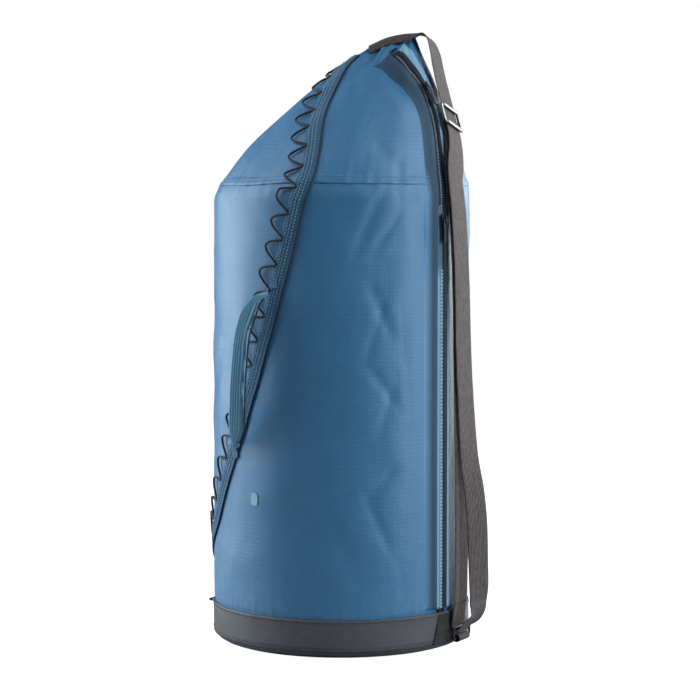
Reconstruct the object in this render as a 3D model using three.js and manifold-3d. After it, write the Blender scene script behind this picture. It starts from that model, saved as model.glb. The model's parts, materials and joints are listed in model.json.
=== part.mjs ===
// Tall cylindrical ski boot bag (kit bag): a coated-cloth tube on a grey base, a top that tapers to a
// short offset ridge, a full-length zip, a shoulder strap, a padded grab handle and a spiral lash line.
// Millimetres. Origin: centre of the base's underside. +Z up, -Y front, +X the zip and strap side.
// Azimuths are degrees round the bag from the front (-Y), growing towards +X.
import * as THREE from "three";
import { mergeVertices } from "three/addons/utils/BufferGeometryUtils.js";
import Module from "manifold-3d";

const wasm = await Module();
wasm.setup();

// ---- driving dimensions ----
const BAG_RADIUS = 165.5;
const CLOTH = 2.4; // wall of coated cloth and lining together
const GAP = 0.4; // between pieces that touch
const SIDES = 48;

const BASE_RADIUS = 157; // flat underside's edge, before it rounds up
const PIPING_HEIGHT = 8.5; // seam between the base panel and the base band
const BAND_TOP = 49;
const FOAM_THICKNESS = 6;

const SHOULDER_HEIGHT = 565; // the straight tube ends here
const TAPER_LENGTH = 250; // length given to the tapered top, measured along the skin
const YOKE_SEAM = 601; // along the skin
const SHOULDER_RISE = 40; // height of the shoulder's upright start
const RIDGE_X = 64.4;
const RIDGE_Z = 766.7;
const RIDGE_HALF_LENGTH = 31.5;
const RIDGE_HALF_DEPTH = 16;
const RIDGE_TILT = 8.3; // rise of the ridge's +X end over its middle
const HEM_THICKNESS = 3;

const ZIP_AZIMUTH = 49;
const SLOT_HALF = 27; // half width of the zip slot, along the wall
const SLOT_BOTTOM = 60;
const SLOT_TOP = 555;
const LIP_WIDTH = 38; // facing strip beside the zip
const TAPE_WIDTH = 16;
const COIL_HALF = 3; // width of one side's row of teeth
const LIP_BASE = 0.8; // stand-off of the zip pieces over the wall

const LOWER_SLIDER = 541; // height at rest, at the top of the upright stretch
const UPPER_SLIDER = [50.6, 726, -0.3]; // azimuth, place along the skin, lean from upright
const SLIDER_OFF = 4; // underside of a slider over the skin
const PULL_AXIS = 3.1; // of a pull's pin over its slider's underside

const WEBBING_WIDTH = 20;
const WEBBING_THICKNESS = 1.6;
const CORD_DIAMETER = 3;
const LOOP_PITCH = 33;
const LOOP_REACH = 15;

const HANDLE_WIDTH = 28;
const HANDLE_THICKNESS = 10;

const STRAP_WIDTH = 38;
const STRAP_THICKNESS = 2;
const LAYER_STEP = 3.2; // from the strap's outer layer to its inner one

// ---- routes over the skin: [azimuth, height along the skin], from the bottom up ----
const ZIP_TAPER = [
  [ZIP_AZIMUTH, 560], [50, 610], [52, 647], [54.5, 687], [53.6, 712],
  [47.7, 737], [37, 757], [26, 775], [10, 790],
];
const LASH_LINE = [
  [-150, 62], [-124, 80], [-104, 98], [-88, 120], [-76, 148], [-66, 189], [-49, 282],
  [-39, 360], [-30, 440], [-16.5, 600], [-19, 640], [-25, 672], [-46, 738], [-76, 790],
];

// ---- strap layers: [x, y, z, azimuth that the strap's face looks at] ----
const STRAP_RIDGE = [
  [38, 0, 765, 90], [66, 0, 772.5, 90], [95, 0, 780, 90],
];
const STRAP_ARCH = [
  [97.6, 0, 780.5, 90], [107, -0.2, 780, 86], [116, -2.5, 772, 75], [121, -7, 758, 68],
];
const STRAP_CARRY = [
  [121.5, -7.8, 755.5, 68], [124.7, -12, 738, 66], [128.2, -17, 720.9, 66], [131.5, -24, 706, 66],
  [139.25, -40.5, 671, 66], [144.9, -52.5, 645.5, 66], [145.5, -70, 621, 63], [143.5, -88, 597, 60],
  [147.5, -93.5, 553, 58], [151.5, -90, 486, 58], [153, -88, 441, 57], [154.5, -86.5, 380, 56],
  [157, -85, 325, 55], [163, -82, 239, 50], [169, -80, 199, 45], [173, -80, 158, 44],
  [174.5, -80, 113, 45], [175.5, -80, 74, 47], [174.6, -80.6, 58, 52],
];
const STRAP_RETURN = [
  [141, -83.4, 601, 60], [144.6, -91.9, 553, 58], [148.6, -88.5, 486, 58], [150.2, -86.6, 441, 57],
  [151.3, -85.2, 380, 57], [152, -84.6, 325, 58], [152.6, -84.2, 239, 59], [153, -83.8, 158, 60],
  [153, -83.2, 100, 61], [152, -82.4, 60, 61.6],
];
const STRAP_FOOT = [
  [174.5, -80.7, 56, 52], [173.9, -81.1, 48, 54], [169, -83.6, 37.5, 59], [161, -86, 30, 61.6],
  [157.9, -85.4, 26, 61.6],
  [153.4, -82.9, 21.2, 61.6], [149.3, -80.7, 26, 61.6], [149.8, -81.1, 38, 61.6],
  [151.8, -82.3, 56, 61.6],
];
const BUCKLE_AT = 4; // the carry strap's point where the buckle rests
const ANCHOR_AZIMUTH = 61.6;
const RING_HEIGHT = 27; // of the ring's outer leg
const RING_SPAN = 14; // between the middles of its two long legs
const RING_WIRE = 3.2;
const RING_RADIUS = 174.2; // of the ring's plane from the bag's axis

// ---- grab handle: [azimuth, height, stand-off], from its top end down ----
const HANDLE = [
  [-30.5, 452, 6.5], [-33.5, 438, 16], [-37, 405, 26], [-39.5, 357, 31], [-42, 307, 28],
  [-46, 277, 17], [-50.5, 262, 6.5],
];

// ---- looks ----
const BLUE = { color: 0x467da5, roughness: 0.5, metalness: 0 };
const DARK_BLUE = { color: 0x1f3248, roughness: 0.7, metalness: 0 };
const GREY = { color: 0x55555f, roughness: 0.55, metalness: 0 };
const WEB = { color: 0x6a6064, roughness: 0.85, metalness: 0 };
const BLACK_WEB = { color: 0x2a282b, roughness: 0.85, metalness: 0 };
const CORD = { color: 0x3c323c, roughness: 0.7, metalness: 0 };
const COIL = { color: 0x19233a, roughness: 0.45, metalness: 0 };
const METAL = { color: 0xb4b0b0, roughness: 0.3, metalness: 1 };
const DARK_METAL = { color: 0x30323a, roughness: 0.4, metalness: 0.8 };
const PALE = { color: 0x9ccbe6, roughness: 0.7, metalness: 0 };
const FOAM = { color: 0x8a8a90, roughness: 0.95, metalness: 0 };

const bag = new THREE.Group();
const radians = THREE.MathUtils.degToRad;
const arc = (mm) => THREE.MathUtils.radToDeg(mm / BAG_RADIUS);

function piece(name, geometry, look, parent = bag) {
  const mesh = new THREE.Mesh(geometry, new THREE.MeshStandardMaterial(look));
  mesh.name = name;
  parent.add(mesh);
  return mesh;
}

// ---- the bag's skin ----
function meridian(azimuth, t) {
  const side = Math.sin(radians(azimuth));
  const front = -Math.cos(radians(azimuth));
  const start = new THREE.Vector3(BAG_RADIUS * side, BAG_RADIUS * front, SHOULDER_HEIGHT);
  const end = new THREE.Vector3(
    RIDGE_X + RIDGE_HALF_LENGTH * side, RIDGE_HALF_DEPTH * front, RIDGE_Z + RIDGE_TILT * side);
  const rise = start.clone().setZ(SHOULDER_HEIGHT + SHOULDER_RISE);
  const crown = end.clone().lerp(start, 0.24).setZ(end.z - 29 - 6 * side);
  return new THREE.CubicBezierCurve3(start, rise, crown, end).getPoint(t);
}

function skinPoint(azimuth, along) {
  if (along > SHOULDER_HEIGHT) return meridian(azimuth, (along - SHOULDER_HEIGHT) / TAPER_LENGTH);
  const a = radians(azimuth);
  return new THREE.Vector3(BAG_RADIUS * Math.sin(a), -BAG_RADIUS * Math.cos(a), along);
}

// Point, outward normal and the lengths of one degree and one unit along, at a place on the skin.
function skinFrame(azimuth, along) {
  const point = skinPoint(azimuth, along);
  const step = 0.05;
  const round = skinPoint(azimuth + step, along).sub(skinPoint(azimuth - step, along));
  const up = skinPoint(azimuth, along + step).sub(skinPoint(azimuth, along - step));
  round.divideScalar(2 * step);
  up.divideScalar(2 * step);
  const normal = round.clone().cross(up).normalize();
  return { point, round, up, normal };
}

function skin(azimuth, along, off = 0) {
  const { point, normal } = skinFrame(azimuth, along);
  return point.addScaledVector(normal, off);
}

// ---- ways to make a solid ----
function moveVertices(geometry, moved) {
  const position = geometry.attributes.position;
  for (let i = 0; i < position.count; i++) {
    const p = moved(position.getX(i), position.getY(i), position.getZ(i));
    position.setXYZ(i, p.x, p.y, p.z);
  }
  geometry.computeVertexNormals();
  return geometry;
}

// A ring of the skin between two heights, from one stand-off to another.
function skinRing(low, high, inner, outer, rows) {
  const outline = [];
  for (let i = 0; i <= rows; i++) outline.push([outer, low + ((high - low) * i) / rows]);
  for (let i = rows; i >= 0; i--) outline.push([inner, low + ((high - low) * i) / rows]);
  outline.push(outline[0]);
  const points = outline.map(([off, z]) => new THREE.Vector2(100 + off, z));
  return moveVertices(new THREE.LatheGeometry(points, SIDES), (x, y, z) =>
    skin(THREE.MathUtils.radToDeg(Math.atan2(x, z)), y, Math.hypot(x, z) - 100));
}

// An upright strip on the skin between two azimuths.
function skinPanel(from, to, low, high, inner, outer, columns, rows) {
  const box = new THREE.BoxGeometry(to - from, high - low, outer - inner, columns, rows, 1);
  return moveVertices(box, (u, v, w) =>
    skin((from + to) / 2 + u, (low + high) / 2 + v, (inner + outer) / 2 + w));
}

// A route over the skin as a curve on the unrolled tube, in millimetres both ways.
function unrolled(route) {
  return new THREE.CatmullRomCurve3(
    route.map(([azimuth, along]) => new THREE.Vector3(radians(azimuth) * BAG_RADIUS, along, 0)));
}

// A place beside a route: t along it, aside to its right, off the skin.
function beside(curve, t, aside, off) {
  const at = curve.getPointAt(t);
  const tangent = curve.getTangentAt(t);
  const here = arc(at.x);
  const { round, up } = skinFrame(here, at.y);
  const east = tangent.x * arc(1) * round.length();
  const north = tangent.y * up.length();
  const span = Math.hypot(east, north);
  return skin(
    here + (aside * north) / span / round.length(), at.y - (aside * east) / span / up.length(), off);
}

function routeStrip(curve, width, inner, outer, steps, columns = 2, from = 0, to = 1) {
  const box = new THREE.BoxGeometry(width, 1, outer - inner, columns, steps, 1);
  return moveVertices(box, (u, v, w) =>
    beside(curve, from + (to - from) * (v + 0.5), u, (inner + outer) / 2 + w));
}

// Place and directions on a band whose points' fourth value is the azimuth that its face looks at.
function bandFrame(points, t) {
  const path = new THREE.CatmullRomCurve3(points.map(([x, y, z]) => new THREE.Vector3(x, y, z)));
  const turn = new THREE.CatmullRomCurve3(points.map((p, i) => new THREE.Vector3(p[3], i, 0)));
  const tangent = path.getTangent(t);
  const look = radians(turn.getPoint(t).x);
  const across = new THREE.Vector3(Math.cos(look), Math.sin(look), 0);
  across.addScaledVector(tangent, -across.dot(tangent)).normalize();
  return { point: path.getPoint(t), tangent, across, face: tangent.clone().cross(across) };
}

function band(points, width, thickness, steps, taper = () => 1) {
  const box = new THREE.BoxGeometry(width, thickness, 1, 2, 1, steps);
  return moveVertices(box, (u, v, w) => {
    const { point, across, face } = bandFrame(points, w + 0.5);
    const size = taper(w + 0.5);
    return point.addScaledVector(across, u * size).addScaledVector(face, v * size);
  });
}

function toSolid(geometry) {
  const bare = new THREE.BufferGeometry();
  bare.setAttribute("position", geometry.attributes.position.clone());
  if (geometry.index) bare.setIndex(geometry.index.clone());
  const merged = mergeVertices(bare, 1e-3);
  return new wasm.Manifold(new wasm.Mesh({
    numProp: 3,
    vertProperties: merged.attributes.position.array,
    triVerts: new Uint32Array(merged.index.array),
  }));
}

function fromSolid(solid) {
  const mesh = solid.getMesh();
  const geometry = new THREE.BufferGeometry();
  geometry.setAttribute("position", new THREE.BufferAttribute(mesh.vertProperties, 3));
  geometry.setIndex(new THREE.BufferAttribute(mesh.triVerts, 1));
  geometry.computeVertexNormals();
  return geometry;
}

function join(geometries) {
  return fromSolid(geometries.map(toSolid).reduce((all, next) => all.add(next)));
}

function roundedRect(width, height, radius) {
  const shape = new THREE.Shape();
  const x = width / 2;
  const y = height / 2;
  shape.moveTo(-x + radius, -y);
  shape.lineTo(x - radius, -y);
  shape.absarc(x - radius, -y + radius, radius, -Math.PI / 2, 0);
  shape.lineTo(x, y - radius);
  shape.absarc(x - radius, y - radius, radius, 0, Math.PI / 2);
  shape.lineTo(-x + radius, y);
  shape.absarc(-x + radius, y - radius, radius, Math.PI / 2, Math.PI);
  shape.lineTo(-x, -y + radius);
  shape.absarc(-x + radius, -y + radius, radius, Math.PI, 1.5 * Math.PI);
  return shape;
}

function plate(shape, thickness, z) {
  const geometry = new THREE.ExtrudeGeometry(
    shape, { depth: thickness, bevelEnabled: false, curveSegments: 3 });
  return geometry.translate(0, 0, z);
}

// A group whose X runs across, Y up and Z out, at a point.
function place(point, across, up, out) {
  const group = new THREE.Group();
  group.position.copy(point);
  group.quaternion.setFromRotationMatrix(new THREE.Matrix4().makeBasis(across, up, out));
  bag.add(group);
  return group;
}

// ---- base ----
function makeBase() {
  const outline = [
    [0, 0], [150, 0], [BASE_RADIUS, 1.2], [162.5, 4.4], [BAG_RADIUS - 0.5, PIPING_HEIGHT],
    [BAG_RADIUS - 3.1, PIPING_HEIGHT], [159, 5.6], [154, 3.2], [150, 3], [0, 3],
  ].map(([r, z]) => new THREE.Vector2(r, z));
  piece("base_panel", new THREE.LatheGeometry(outline, SIDES).rotateX(Math.PI / 2), GREY);

  const foam = new THREE.CylinderGeometry(149, 149, FOAM_THICKNESS, 32).rotateX(Math.PI / 2);
  piece("base_foam", foam.translate(0, 0, 3 + GAP + FOAM_THICKNESS / 2), FOAM);

  piece("base_band", skinRing(PIPING_HEIGHT + 2.2, BAND_TOP, -CLOTH, 0.2, 1), GREY);
  piece("base_piping", skinRing(PIPING_HEIGHT + GAP, PIPING_HEIGHT + 1.8, -CLOTH, 0.5, 1), GREY);
}

// ---- tube and tapered top ----
function makeShell() {
  const tube = skinRing(BAND_TOP + GAP, YOKE_SEAM - GAP, -CLOTH, 0, 6);
  const edge = arc(SLOT_HALF);
  const slot = skinPanel(
    ZIP_AZIMUTH - edge, ZIP_AZIMUTH + edge, SLOT_BOTTOM, SLOT_TOP, -10, 10, 4, 1);
  piece("body_shell", fromSolid(toSolid(tube).subtract(toSolid(slot))), BLUE);
  piece("top_yoke", skinRing(YOKE_SEAM, SHOULDER_HEIGHT + TAPER_LENGTH, -CLOTH, 0, 12), BLUE);
}

// The folded hem that closes the ridge.
function makeRidgeHem() {
  const outline = [[0, 0], [1, 0], [1, 1], [0, 1]].map(([r, z]) => new THREE.Vector2(r, z));
  const hem = moveVertices(new THREE.LatheGeometry(outline, 24), (x, y, z) =>
    new THREE.Vector3(
      RIDGE_X + x * RIDGE_HALF_LENGTH,
      -z * RIDGE_HALF_DEPTH,
      RIDGE_Z + RIDGE_TILT * x + 0.8 + y * HEM_THICKNESS));
  piece("ridge_hem", hem, BLUE);
}

// ---- zip ----
function makeLip(side, name) {
  const at = (mm) => ZIP_AZIMUTH + side * arc(mm);
  const strip = (near, far, inner, outer, columns) => {
    const [from, to] = side > 0 ? [at(near), at(far)] : [at(far), at(near)];
    return skinPanel(from, to, SLOT_BOTTOM - 6, SLOT_TOP + 4, inner, outer, columns, 1);
  };
  piece(`zip_coil_${name}`, strip(0.3, COIL_HALF, LIP_BASE, LIP_BASE + 2.2, 1), COIL);
  piece(`zip_tape_${name}`, strip(COIL_HALF + 0.3, TAPE_WIDTH, LIP_BASE, LIP_BASE + 0.7, 2), DARK_BLUE);
  const facing = strip(5, LIP_WIDTH, LIP_BASE + 1, LIP_BASE + 1.9, 4);
  piece(`zip_facing_${name}`, facing, side > 0 ? PALE : BLUE);
}

function makeUpperZip() {
  const line = unrolled(ZIP_TAPER);
  piece("zip_upper_tape", routeStrip(line, 26, GAP, GAP + 0.8, 30, 4, 0.01), DARK_BLUE);
  piece("zip_upper_coil", routeStrip(line, 6, GAP + 1.1, GAP + 3, 30, 2, 0.01, 0.96), COIL);
  piece("zip_top_stop", routeStrip(line, 8, GAP + 1.1, GAP + 3.4, 1, 1, 0.968, 0.99), DARK_METAL);
}

function makeZipFoot() {
  const edge = arc(6);
  const low = BAND_TOP + 1;
  const tab = skinPanel(ZIP_AZIMUTH - edge, ZIP_AZIMUTH + edge, low, SLOT_BOTTOM - 6.6, GAP, 2.6, 2, 1);
  piece("zip_bottom_stop", tab, DARK_METAL);
}

// A group on the skin: X across the zip, Y up along it, Z out.
function onSkin(azimuth, along, off, lean = 0) {
  const { round, up, normal, point } = skinFrame(azimuth, along);
  const upward = up.normalize().multiplyScalar(Math.cos(lean));
  upward.addScaledVector(round.normalize(), Math.sin(lean));
  upward.addScaledVector(normal, -upward.dot(normal)).normalize();
  return place(
    point.addScaledVector(normal, off), upward.clone().cross(normal), upward, normal);
}

function polygon(corners) {
  return new THREE.Shape(corners.map(([x, y]) => new THREE.Vector2(x, y)));
}

function makeSlider(name, frame) {
  const wedge = polygon([[-3.4, -7], [3.4, -7], [5, 1], [5, 7], [-5, 7], [-5, 1]]);
  const bail = polygon([[-3.5, 1.3], [3.5, 1.3], [3.5, 4], [2.6, 4.7], [-2.6, 4.7], [-3.5, 4]]);
  const eye = new THREE.Path();
  eye.absarc(0, PULL_AXIS, 1.35, 0, 2 * Math.PI);
  bail.holes.push(eye);
  const standing = moveVertices(plate(bail, 3, -1.5), (x, y, z) => new THREE.Vector3(z, x, y));
  piece(`${name}_slider`, join([plate(wedge, 1.8, 0), standing]), DARK_METAL, frame);

  const pull = polygon([
    [-4.2, 0.8], [-3.2, -20], [-4, -26], [-2.6, -28], [2.6, -28], [4, -26], [3.2, -20], [4.2, 0.8],
  ]);
  pull.holes.push(polygon([[-2.2, -0.8], [2.2, -0.8], [2.2, -4.8], [-2.2, -4.8]]));
  piece(`${name}_pull`, plate(pull, 1.6, PULL_AXIS - 0.8), DARK_METAL, frame);
}

function makeSliders() {
  makeSlider("upper", onSkin(UPPER_SLIDER[0], UPPER_SLIDER[1], SLIDER_OFF + 1.4, UPPER_SLIDER[2]));
  makeSlider("lower", onSkin(ZIP_AZIMUTH, LOWER_SLIDER, SLIDER_OFF));
  const inside = onSkin(ZIP_AZIMUTH, LOWER_SLIDER, -1.6);
  piece("lower_slider_back", plate(roundedRect(10, 14, 1.5), 1.5, 0), DARK_METAL, inside);
}

// ---- spiral lash line ----
function makeLashLine() {
  const line = unrolled(LASH_LINE);
  piece("lash_webbing", routeStrip(line, WEBBING_WIDTH, GAP, GAP + WEBBING_THICKNESS, 72), BLUE);

  const loops = Math.round((line.getLength() - 20) / LOOP_PITCH);
  const perLoop = 8;
  const margin = 10 / line.getLength();
  const points = [];
  for (let i = 0; i <= loops * perLoop; i++) {
    const swell = Math.abs(Math.sin((Math.PI * i) / perLoop)) ** 0.8;
    const aside = -(WEBBING_WIDTH / 2 + CORD_DIAMETER / 2 + 0.8 + LOOP_REACH * swell);
    const t = margin + (1 - 2 * margin) * (i / (loops * perLoop));
    points.push(beside(line, t, aside, CORD_DIAMETER / 2 + 0.9));
  }
  piece("lash_cord", tube(points, CORD_DIAMETER / 2, 6, loops * perLoop), CORD);
}

function tube(points, radius, sides, steps) {
  const section = new THREE.Shape();
  for (let i = 0; i < sides; i++) {
    const turn = (2 * Math.PI * i) / sides;
    const [x, y] = [radius * Math.cos(turn), radius * Math.sin(turn)];
    if (i === 0) section.moveTo(x, y);
    else section.lineTo(x, y);
  }
  section.closePath();
  const extrudePath = new THREE.CatmullRomCurve3(points);
  return new THREE.ExtrudeGeometry(section, { extrudePath, steps });
}

// ---- grab handle ----
function makeHandle() {
  const points = HANDLE.map(([azimuth, along, off]) => {
    const p = skin(azimuth, along, off);
    return [p.x, p.y, p.z, azimuth];
  });
  const taper = (t) => 0.3 + 0.7 * Math.min(1, Math.sin(Math.PI * t) * 1.9);
  piece("grab_handle", band(points, HANDLE_WIDTH, HANDLE_THICKNESS, 20, taper), BLUE);

  const ends = { top: HANDLE[0], bottom: HANDLE[HANDLE.length - 1] };
  for (const [name, [azimuth, along]] of Object.entries(ends)) {
    const rise = name === "top" ? 12 : -12;
    const frame = onSkin(azimuth + 0.12 * rise, along + rise, GAP + WEBBING_THICKNESS + 0.6);
    piece(`handle_tab_${name}`, plate(roundedRect(12, 15, 2), 2, 0), BLUE, frame);
  }
}

// ---- shoulder strap ----
function makeStrap() {
  piece("strap_ridge", band(STRAP_RIDGE, STRAP_WIDTH, STRAP_THICKNESS, 6), WEB);
  piece("strap_arch", band(STRAP_ARCH, STRAP_WIDTH, STRAP_THICKNESS, 16), WEB);
  piece("strap_carry", band(STRAP_CARRY, STRAP_WIDTH, STRAP_THICKNESS, 60), WEB);
  piece("strap_return", band(STRAP_RETURN, STRAP_WIDTH - 1, STRAP_THICKNESS, 24), WEB);
  piece("strap_foot", band(STRAP_FOOT, STRAP_WIDTH, STRAP_THICKNESS, 36), BLACK_WEB);
}

function makeBuckle() {
  const { point, tangent, across, face } = bandFrame(STRAP_CARRY, BUCKLE_AT / (STRAP_CARRY.length - 1));
  const frame = place(point, across, tangent.negate(), face);
  const outline = roundedRect(50, 30, 4);
  outline.holes.push(roundedRect(42, 20, 2));
  const lug = (side) => new THREE.BoxGeometry(2.8, 6, 7.6).translate(side * 22.9, 0, -1.6);
  const bar = new THREE.CylinderGeometry(1.7, 1.7, 46, 10).rotateZ(Math.PI / 2).translate(0, 0, -3.5);
  const parts = [plate(outline, 3, STRAP_THICKNESS / 2 + 2 * GAP), lug(-1), lug(1), bar];
  piece("buckle_frame", join(parts), METAL, frame);
  const keeper = new THREE.BoxGeometry(STRAP_WIDTH - 1, 12, STRAP_THICKNESS);
  piece("buckle_keeper", keeper.translate(0, -8.4, -LAYER_STEP), WEB, frame);
}

function makeStrapAnchor() {
  const patch = skinPanel(46, 77, PIPING_HEIGHT + 1.5, 44, 0.8, 1.8, 8, 1);
  piece("strap_anchor_patch", patch, BLACK_WEB);

  const out = new THREE.Vector3(
    Math.sin(radians(ANCHOR_AZIMUTH)), -Math.cos(radians(ANCHOR_AZIMUTH)), 0);
  const up = new THREE.Vector3(0, 0, 1);
  const foot = out.clone().multiplyScalar(RING_RADIUS).setZ(RING_HEIGHT - RING_SPAN);
  const frame = place(foot, up.clone().cross(out), up, out);

  const ring = roundedRect(50, RING_SPAN + RING_WIRE, 4);
  ring.holes.push(roundedRect(50 - 2 * RING_WIRE, RING_SPAN - RING_WIRE, 2));
  const loop = plate(ring, RING_WIRE, -RING_WIRE / 2).translate(0, RING_SPAN / 2, 0);
  piece("anchor_ring", loop, DARK_METAL, frame);

  const keeper = new THREE.Shape();
  keeper.absarc(0, 0, 4.6, 0, 2 * Math.PI);
  const bore = new THREE.Path();
  bore.absarc(0, 0, 3.15, 0, 2 * Math.PI);
  keeper.holes.push(bore);
  piece("ring_keeper", plate(keeper, 30, -15).rotateY(Math.PI / 2), BLACK_WEB, frame);
}

// ---- small trim ----
function makeTrim() {
  const loop = [[-94, 1.8], [-93.6, 5], [-91.5, 7], [-89.4, 5], [-89, 1.8]];
  piece("base_lash_loop", tube(loop.map(([a, off]) => skin(a, 45, off)), 1.2, 6, 14), BLACK_WEB);
  piece("blank_label", skinPanel(-41.8, -38.2, 186, 202, GAP, GAP + 0.8, 1, 1), PALE);
}

makeBase();
makeShell();
makeRidgeHem();
makeLip(-1, "front");
makeLip(1, "rear");
makeUpperZip();
makeZipFoot();
makeSliders();
makeLashLine();
makeHandle();
makeStrap();
makeBuckle();
makeStrapAnchor();
makeTrim();

export default bag;
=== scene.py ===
"""Looks of the tall cylindrical ski boot bag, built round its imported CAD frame. Metres, +Z up, -Y front.

Azimuths are degrees round the bag from the front (-Y), growing towards +X, the zip and strap side.
A place on the bag's skin is (azimuth, along): along is the height on the straight tube, and goes on
over the tapered top to the ridge.
"""
import json
import math

import bmesh
import bpy
import numpy as np
from mathutils import Matrix, Vector

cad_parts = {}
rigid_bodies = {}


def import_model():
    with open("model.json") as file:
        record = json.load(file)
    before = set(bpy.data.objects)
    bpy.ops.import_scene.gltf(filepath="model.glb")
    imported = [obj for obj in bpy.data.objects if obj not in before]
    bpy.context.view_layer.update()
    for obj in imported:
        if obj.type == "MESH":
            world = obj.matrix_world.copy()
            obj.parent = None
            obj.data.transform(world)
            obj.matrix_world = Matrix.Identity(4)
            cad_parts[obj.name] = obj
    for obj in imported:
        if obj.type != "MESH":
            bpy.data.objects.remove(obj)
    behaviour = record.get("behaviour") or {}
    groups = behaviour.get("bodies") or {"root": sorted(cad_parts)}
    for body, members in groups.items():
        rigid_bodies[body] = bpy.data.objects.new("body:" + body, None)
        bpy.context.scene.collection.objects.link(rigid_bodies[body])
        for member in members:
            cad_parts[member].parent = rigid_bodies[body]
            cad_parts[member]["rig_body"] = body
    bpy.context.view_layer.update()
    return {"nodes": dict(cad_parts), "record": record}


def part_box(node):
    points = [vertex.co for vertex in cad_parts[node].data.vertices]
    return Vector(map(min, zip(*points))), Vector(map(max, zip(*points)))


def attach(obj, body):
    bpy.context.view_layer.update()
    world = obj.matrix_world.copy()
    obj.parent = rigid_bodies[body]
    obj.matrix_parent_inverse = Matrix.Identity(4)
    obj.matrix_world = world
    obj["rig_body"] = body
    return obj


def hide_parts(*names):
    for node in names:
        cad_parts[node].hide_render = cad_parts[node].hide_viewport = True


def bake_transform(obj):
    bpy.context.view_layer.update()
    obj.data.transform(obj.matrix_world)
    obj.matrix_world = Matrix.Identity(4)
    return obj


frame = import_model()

MM = 0.001
RANDOM = np.random.default_rng(7)

# ---- sizes, from the frame where it holds them ----
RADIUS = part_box("body_shell")[1].x
BAND_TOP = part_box("base_band")[1].z
PIPING_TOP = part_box("base_piping")[1].z
SHOULDER = 0.565
TAPER = 0.250
YOKE_SEAM = 0.601
RIDGE_TOP = SHOULDER + TAPER
SHOULDER_RISE = 0.040
RIDGE = np.array([0.0644, 0.0, 0.7667])
RIDGE_HALF = 0.0315
RIDGE_DEPTH = 0.016
RIDGE_TILT = 0.0083

ZIP_AZIMUTH = 49.0
ZIP_LINE = 49.8  # the teeth meet a little behind the opening's middle
FLAP = 0.0062  # from the zip to the cloth edge beside it
TOOTH_PITCH = 0.0017
SLOT_HALF = 0.027
SLOT_BOTTOM = 0.060
SLOT_TOP = 0.555
LIP_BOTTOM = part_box("zip_coil_front")[0].z
LIP_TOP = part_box("zip_coil_front")[1].z
LIP_WIDTH = 0.038
LIP_MIDDLE = 0.300  # the two halves of each lip meet here
LIP_REACH = 0.130  # from the zip's end to where a lip parts fully
STITCH_TOP = 0.478  # the pale stitching beside the zip stops here
TAPE_SHADOW_START = 0.476  # the front tape is pale below this height; above it, its colour is painted navy as shadow
DEGREE = math.radians(1) * RADIUS  # length of one degree round the tube

WEBBING_WIDTH = 0.020
LOOP_PITCH = 0.033
LOOP_REACH = 0.0155
LASH_ROWS = 480
CORD_RADIUS = 0.0015
PIPING_LIFT = 1.6 * MM  # from the cloth to the middle of the piping beside the lash webbing
STITCH_LIFT = 2.3 * MM  # from the cloth to the upper zip's teeth, and to stitches on tape and webbing
TAPE_LIFT = 1.9  # mm from the skin to the zip tape

STRAP_WIDTH = 0.038
STRAP_THICKNESS = 0.0018

# ---- routes over the skin: (azimuth, along), from the bottom up ----
ZIP_TAPER = [
    (ZIP_AZIMUTH, 0.552), (50, 0.610), (52, 0.647), (54.5, 0.687), (53.6, 0.712),
    (47.7, 0.737), (37, 0.757), (26, 0.775), (10, 0.790),
]
LASH_LINE = [
    (-150, 0.062), (-124, 0.080), (-104, 0.098), (-88, 0.120), (-76, 0.148), (-66, 0.189),
    (-49, 0.282), (-39, 0.360), (-30, 0.440), (-16.5, 0.600), (-19, 0.640), (-25, 0.672),
    (-46, 0.738), (-76, 0.790),
]
HANDLE = [
    (-30.5, 0.452, 0.0065), (-35.3, 0.440, 0.016), (-38.6, 0.408, 0.026), (-39.8, 0.357, 0.031),
    (-41.5, 0.307, 0.028), (-45.5, 0.277, 0.017), (-50.5, 0.262, 0.0065),
]

# ---- strap layers: (x, y, z, azimuth that the strap's face looks at) ----
STRAP_OUTER = [
    (0.036, 0, 0.765, 90), (0.060, 0, 0.7755, 90), (0.082, 0, 0.7800, 90), (0.0976, 0, 0.7808, 90),
    (0.107, -0.0002, 0.780, 86), (0.116, -0.0025, 0.772, 75), (0.121, -0.007, 0.758, 68),
    (0.1247, -0.012, 0.738, 66), (0.1282, -0.017, 0.7209, 66), (0.1315, -0.024, 0.706, 66),
    (0.13925, -0.0405, 0.671, 66), (0.1449, -0.0525, 0.6455, 66), (0.1455, -0.070, 0.621, 63),
    (0.1435, -0.088, 0.597, 60), (0.1475, -0.0935, 0.553, 58), (0.1515, -0.090, 0.486, 58),
    (0.153, -0.088, 0.441, 57), (0.1545, -0.0865, 0.380, 56), (0.157, -0.085, 0.325, 55),
    (0.163, -0.082, 0.239, 50), (0.169, -0.080, 0.199, 45), (0.173, -0.080, 0.158, 44),
    (0.1745, -0.080, 0.113, 45), (0.1755, -0.080, 0.074, 47), (0.1746, -0.0806, 0.057, 52),
    (0.1739, -0.0811, 0.048, 54), (0.169, -0.0836, 0.0375, 59), (0.161, -0.086, 0.030, 61.6),
    (0.1579, -0.0854, 0.026, 61.6), (0.1534, -0.0829, 0.0212, 61.6), (0.1493, -0.0807, 0.026, 61.6),
    (0.1498, -0.0811, 0.038, 61.6), (0.1518, -0.0823, 0.056, 61.6),
]
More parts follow.
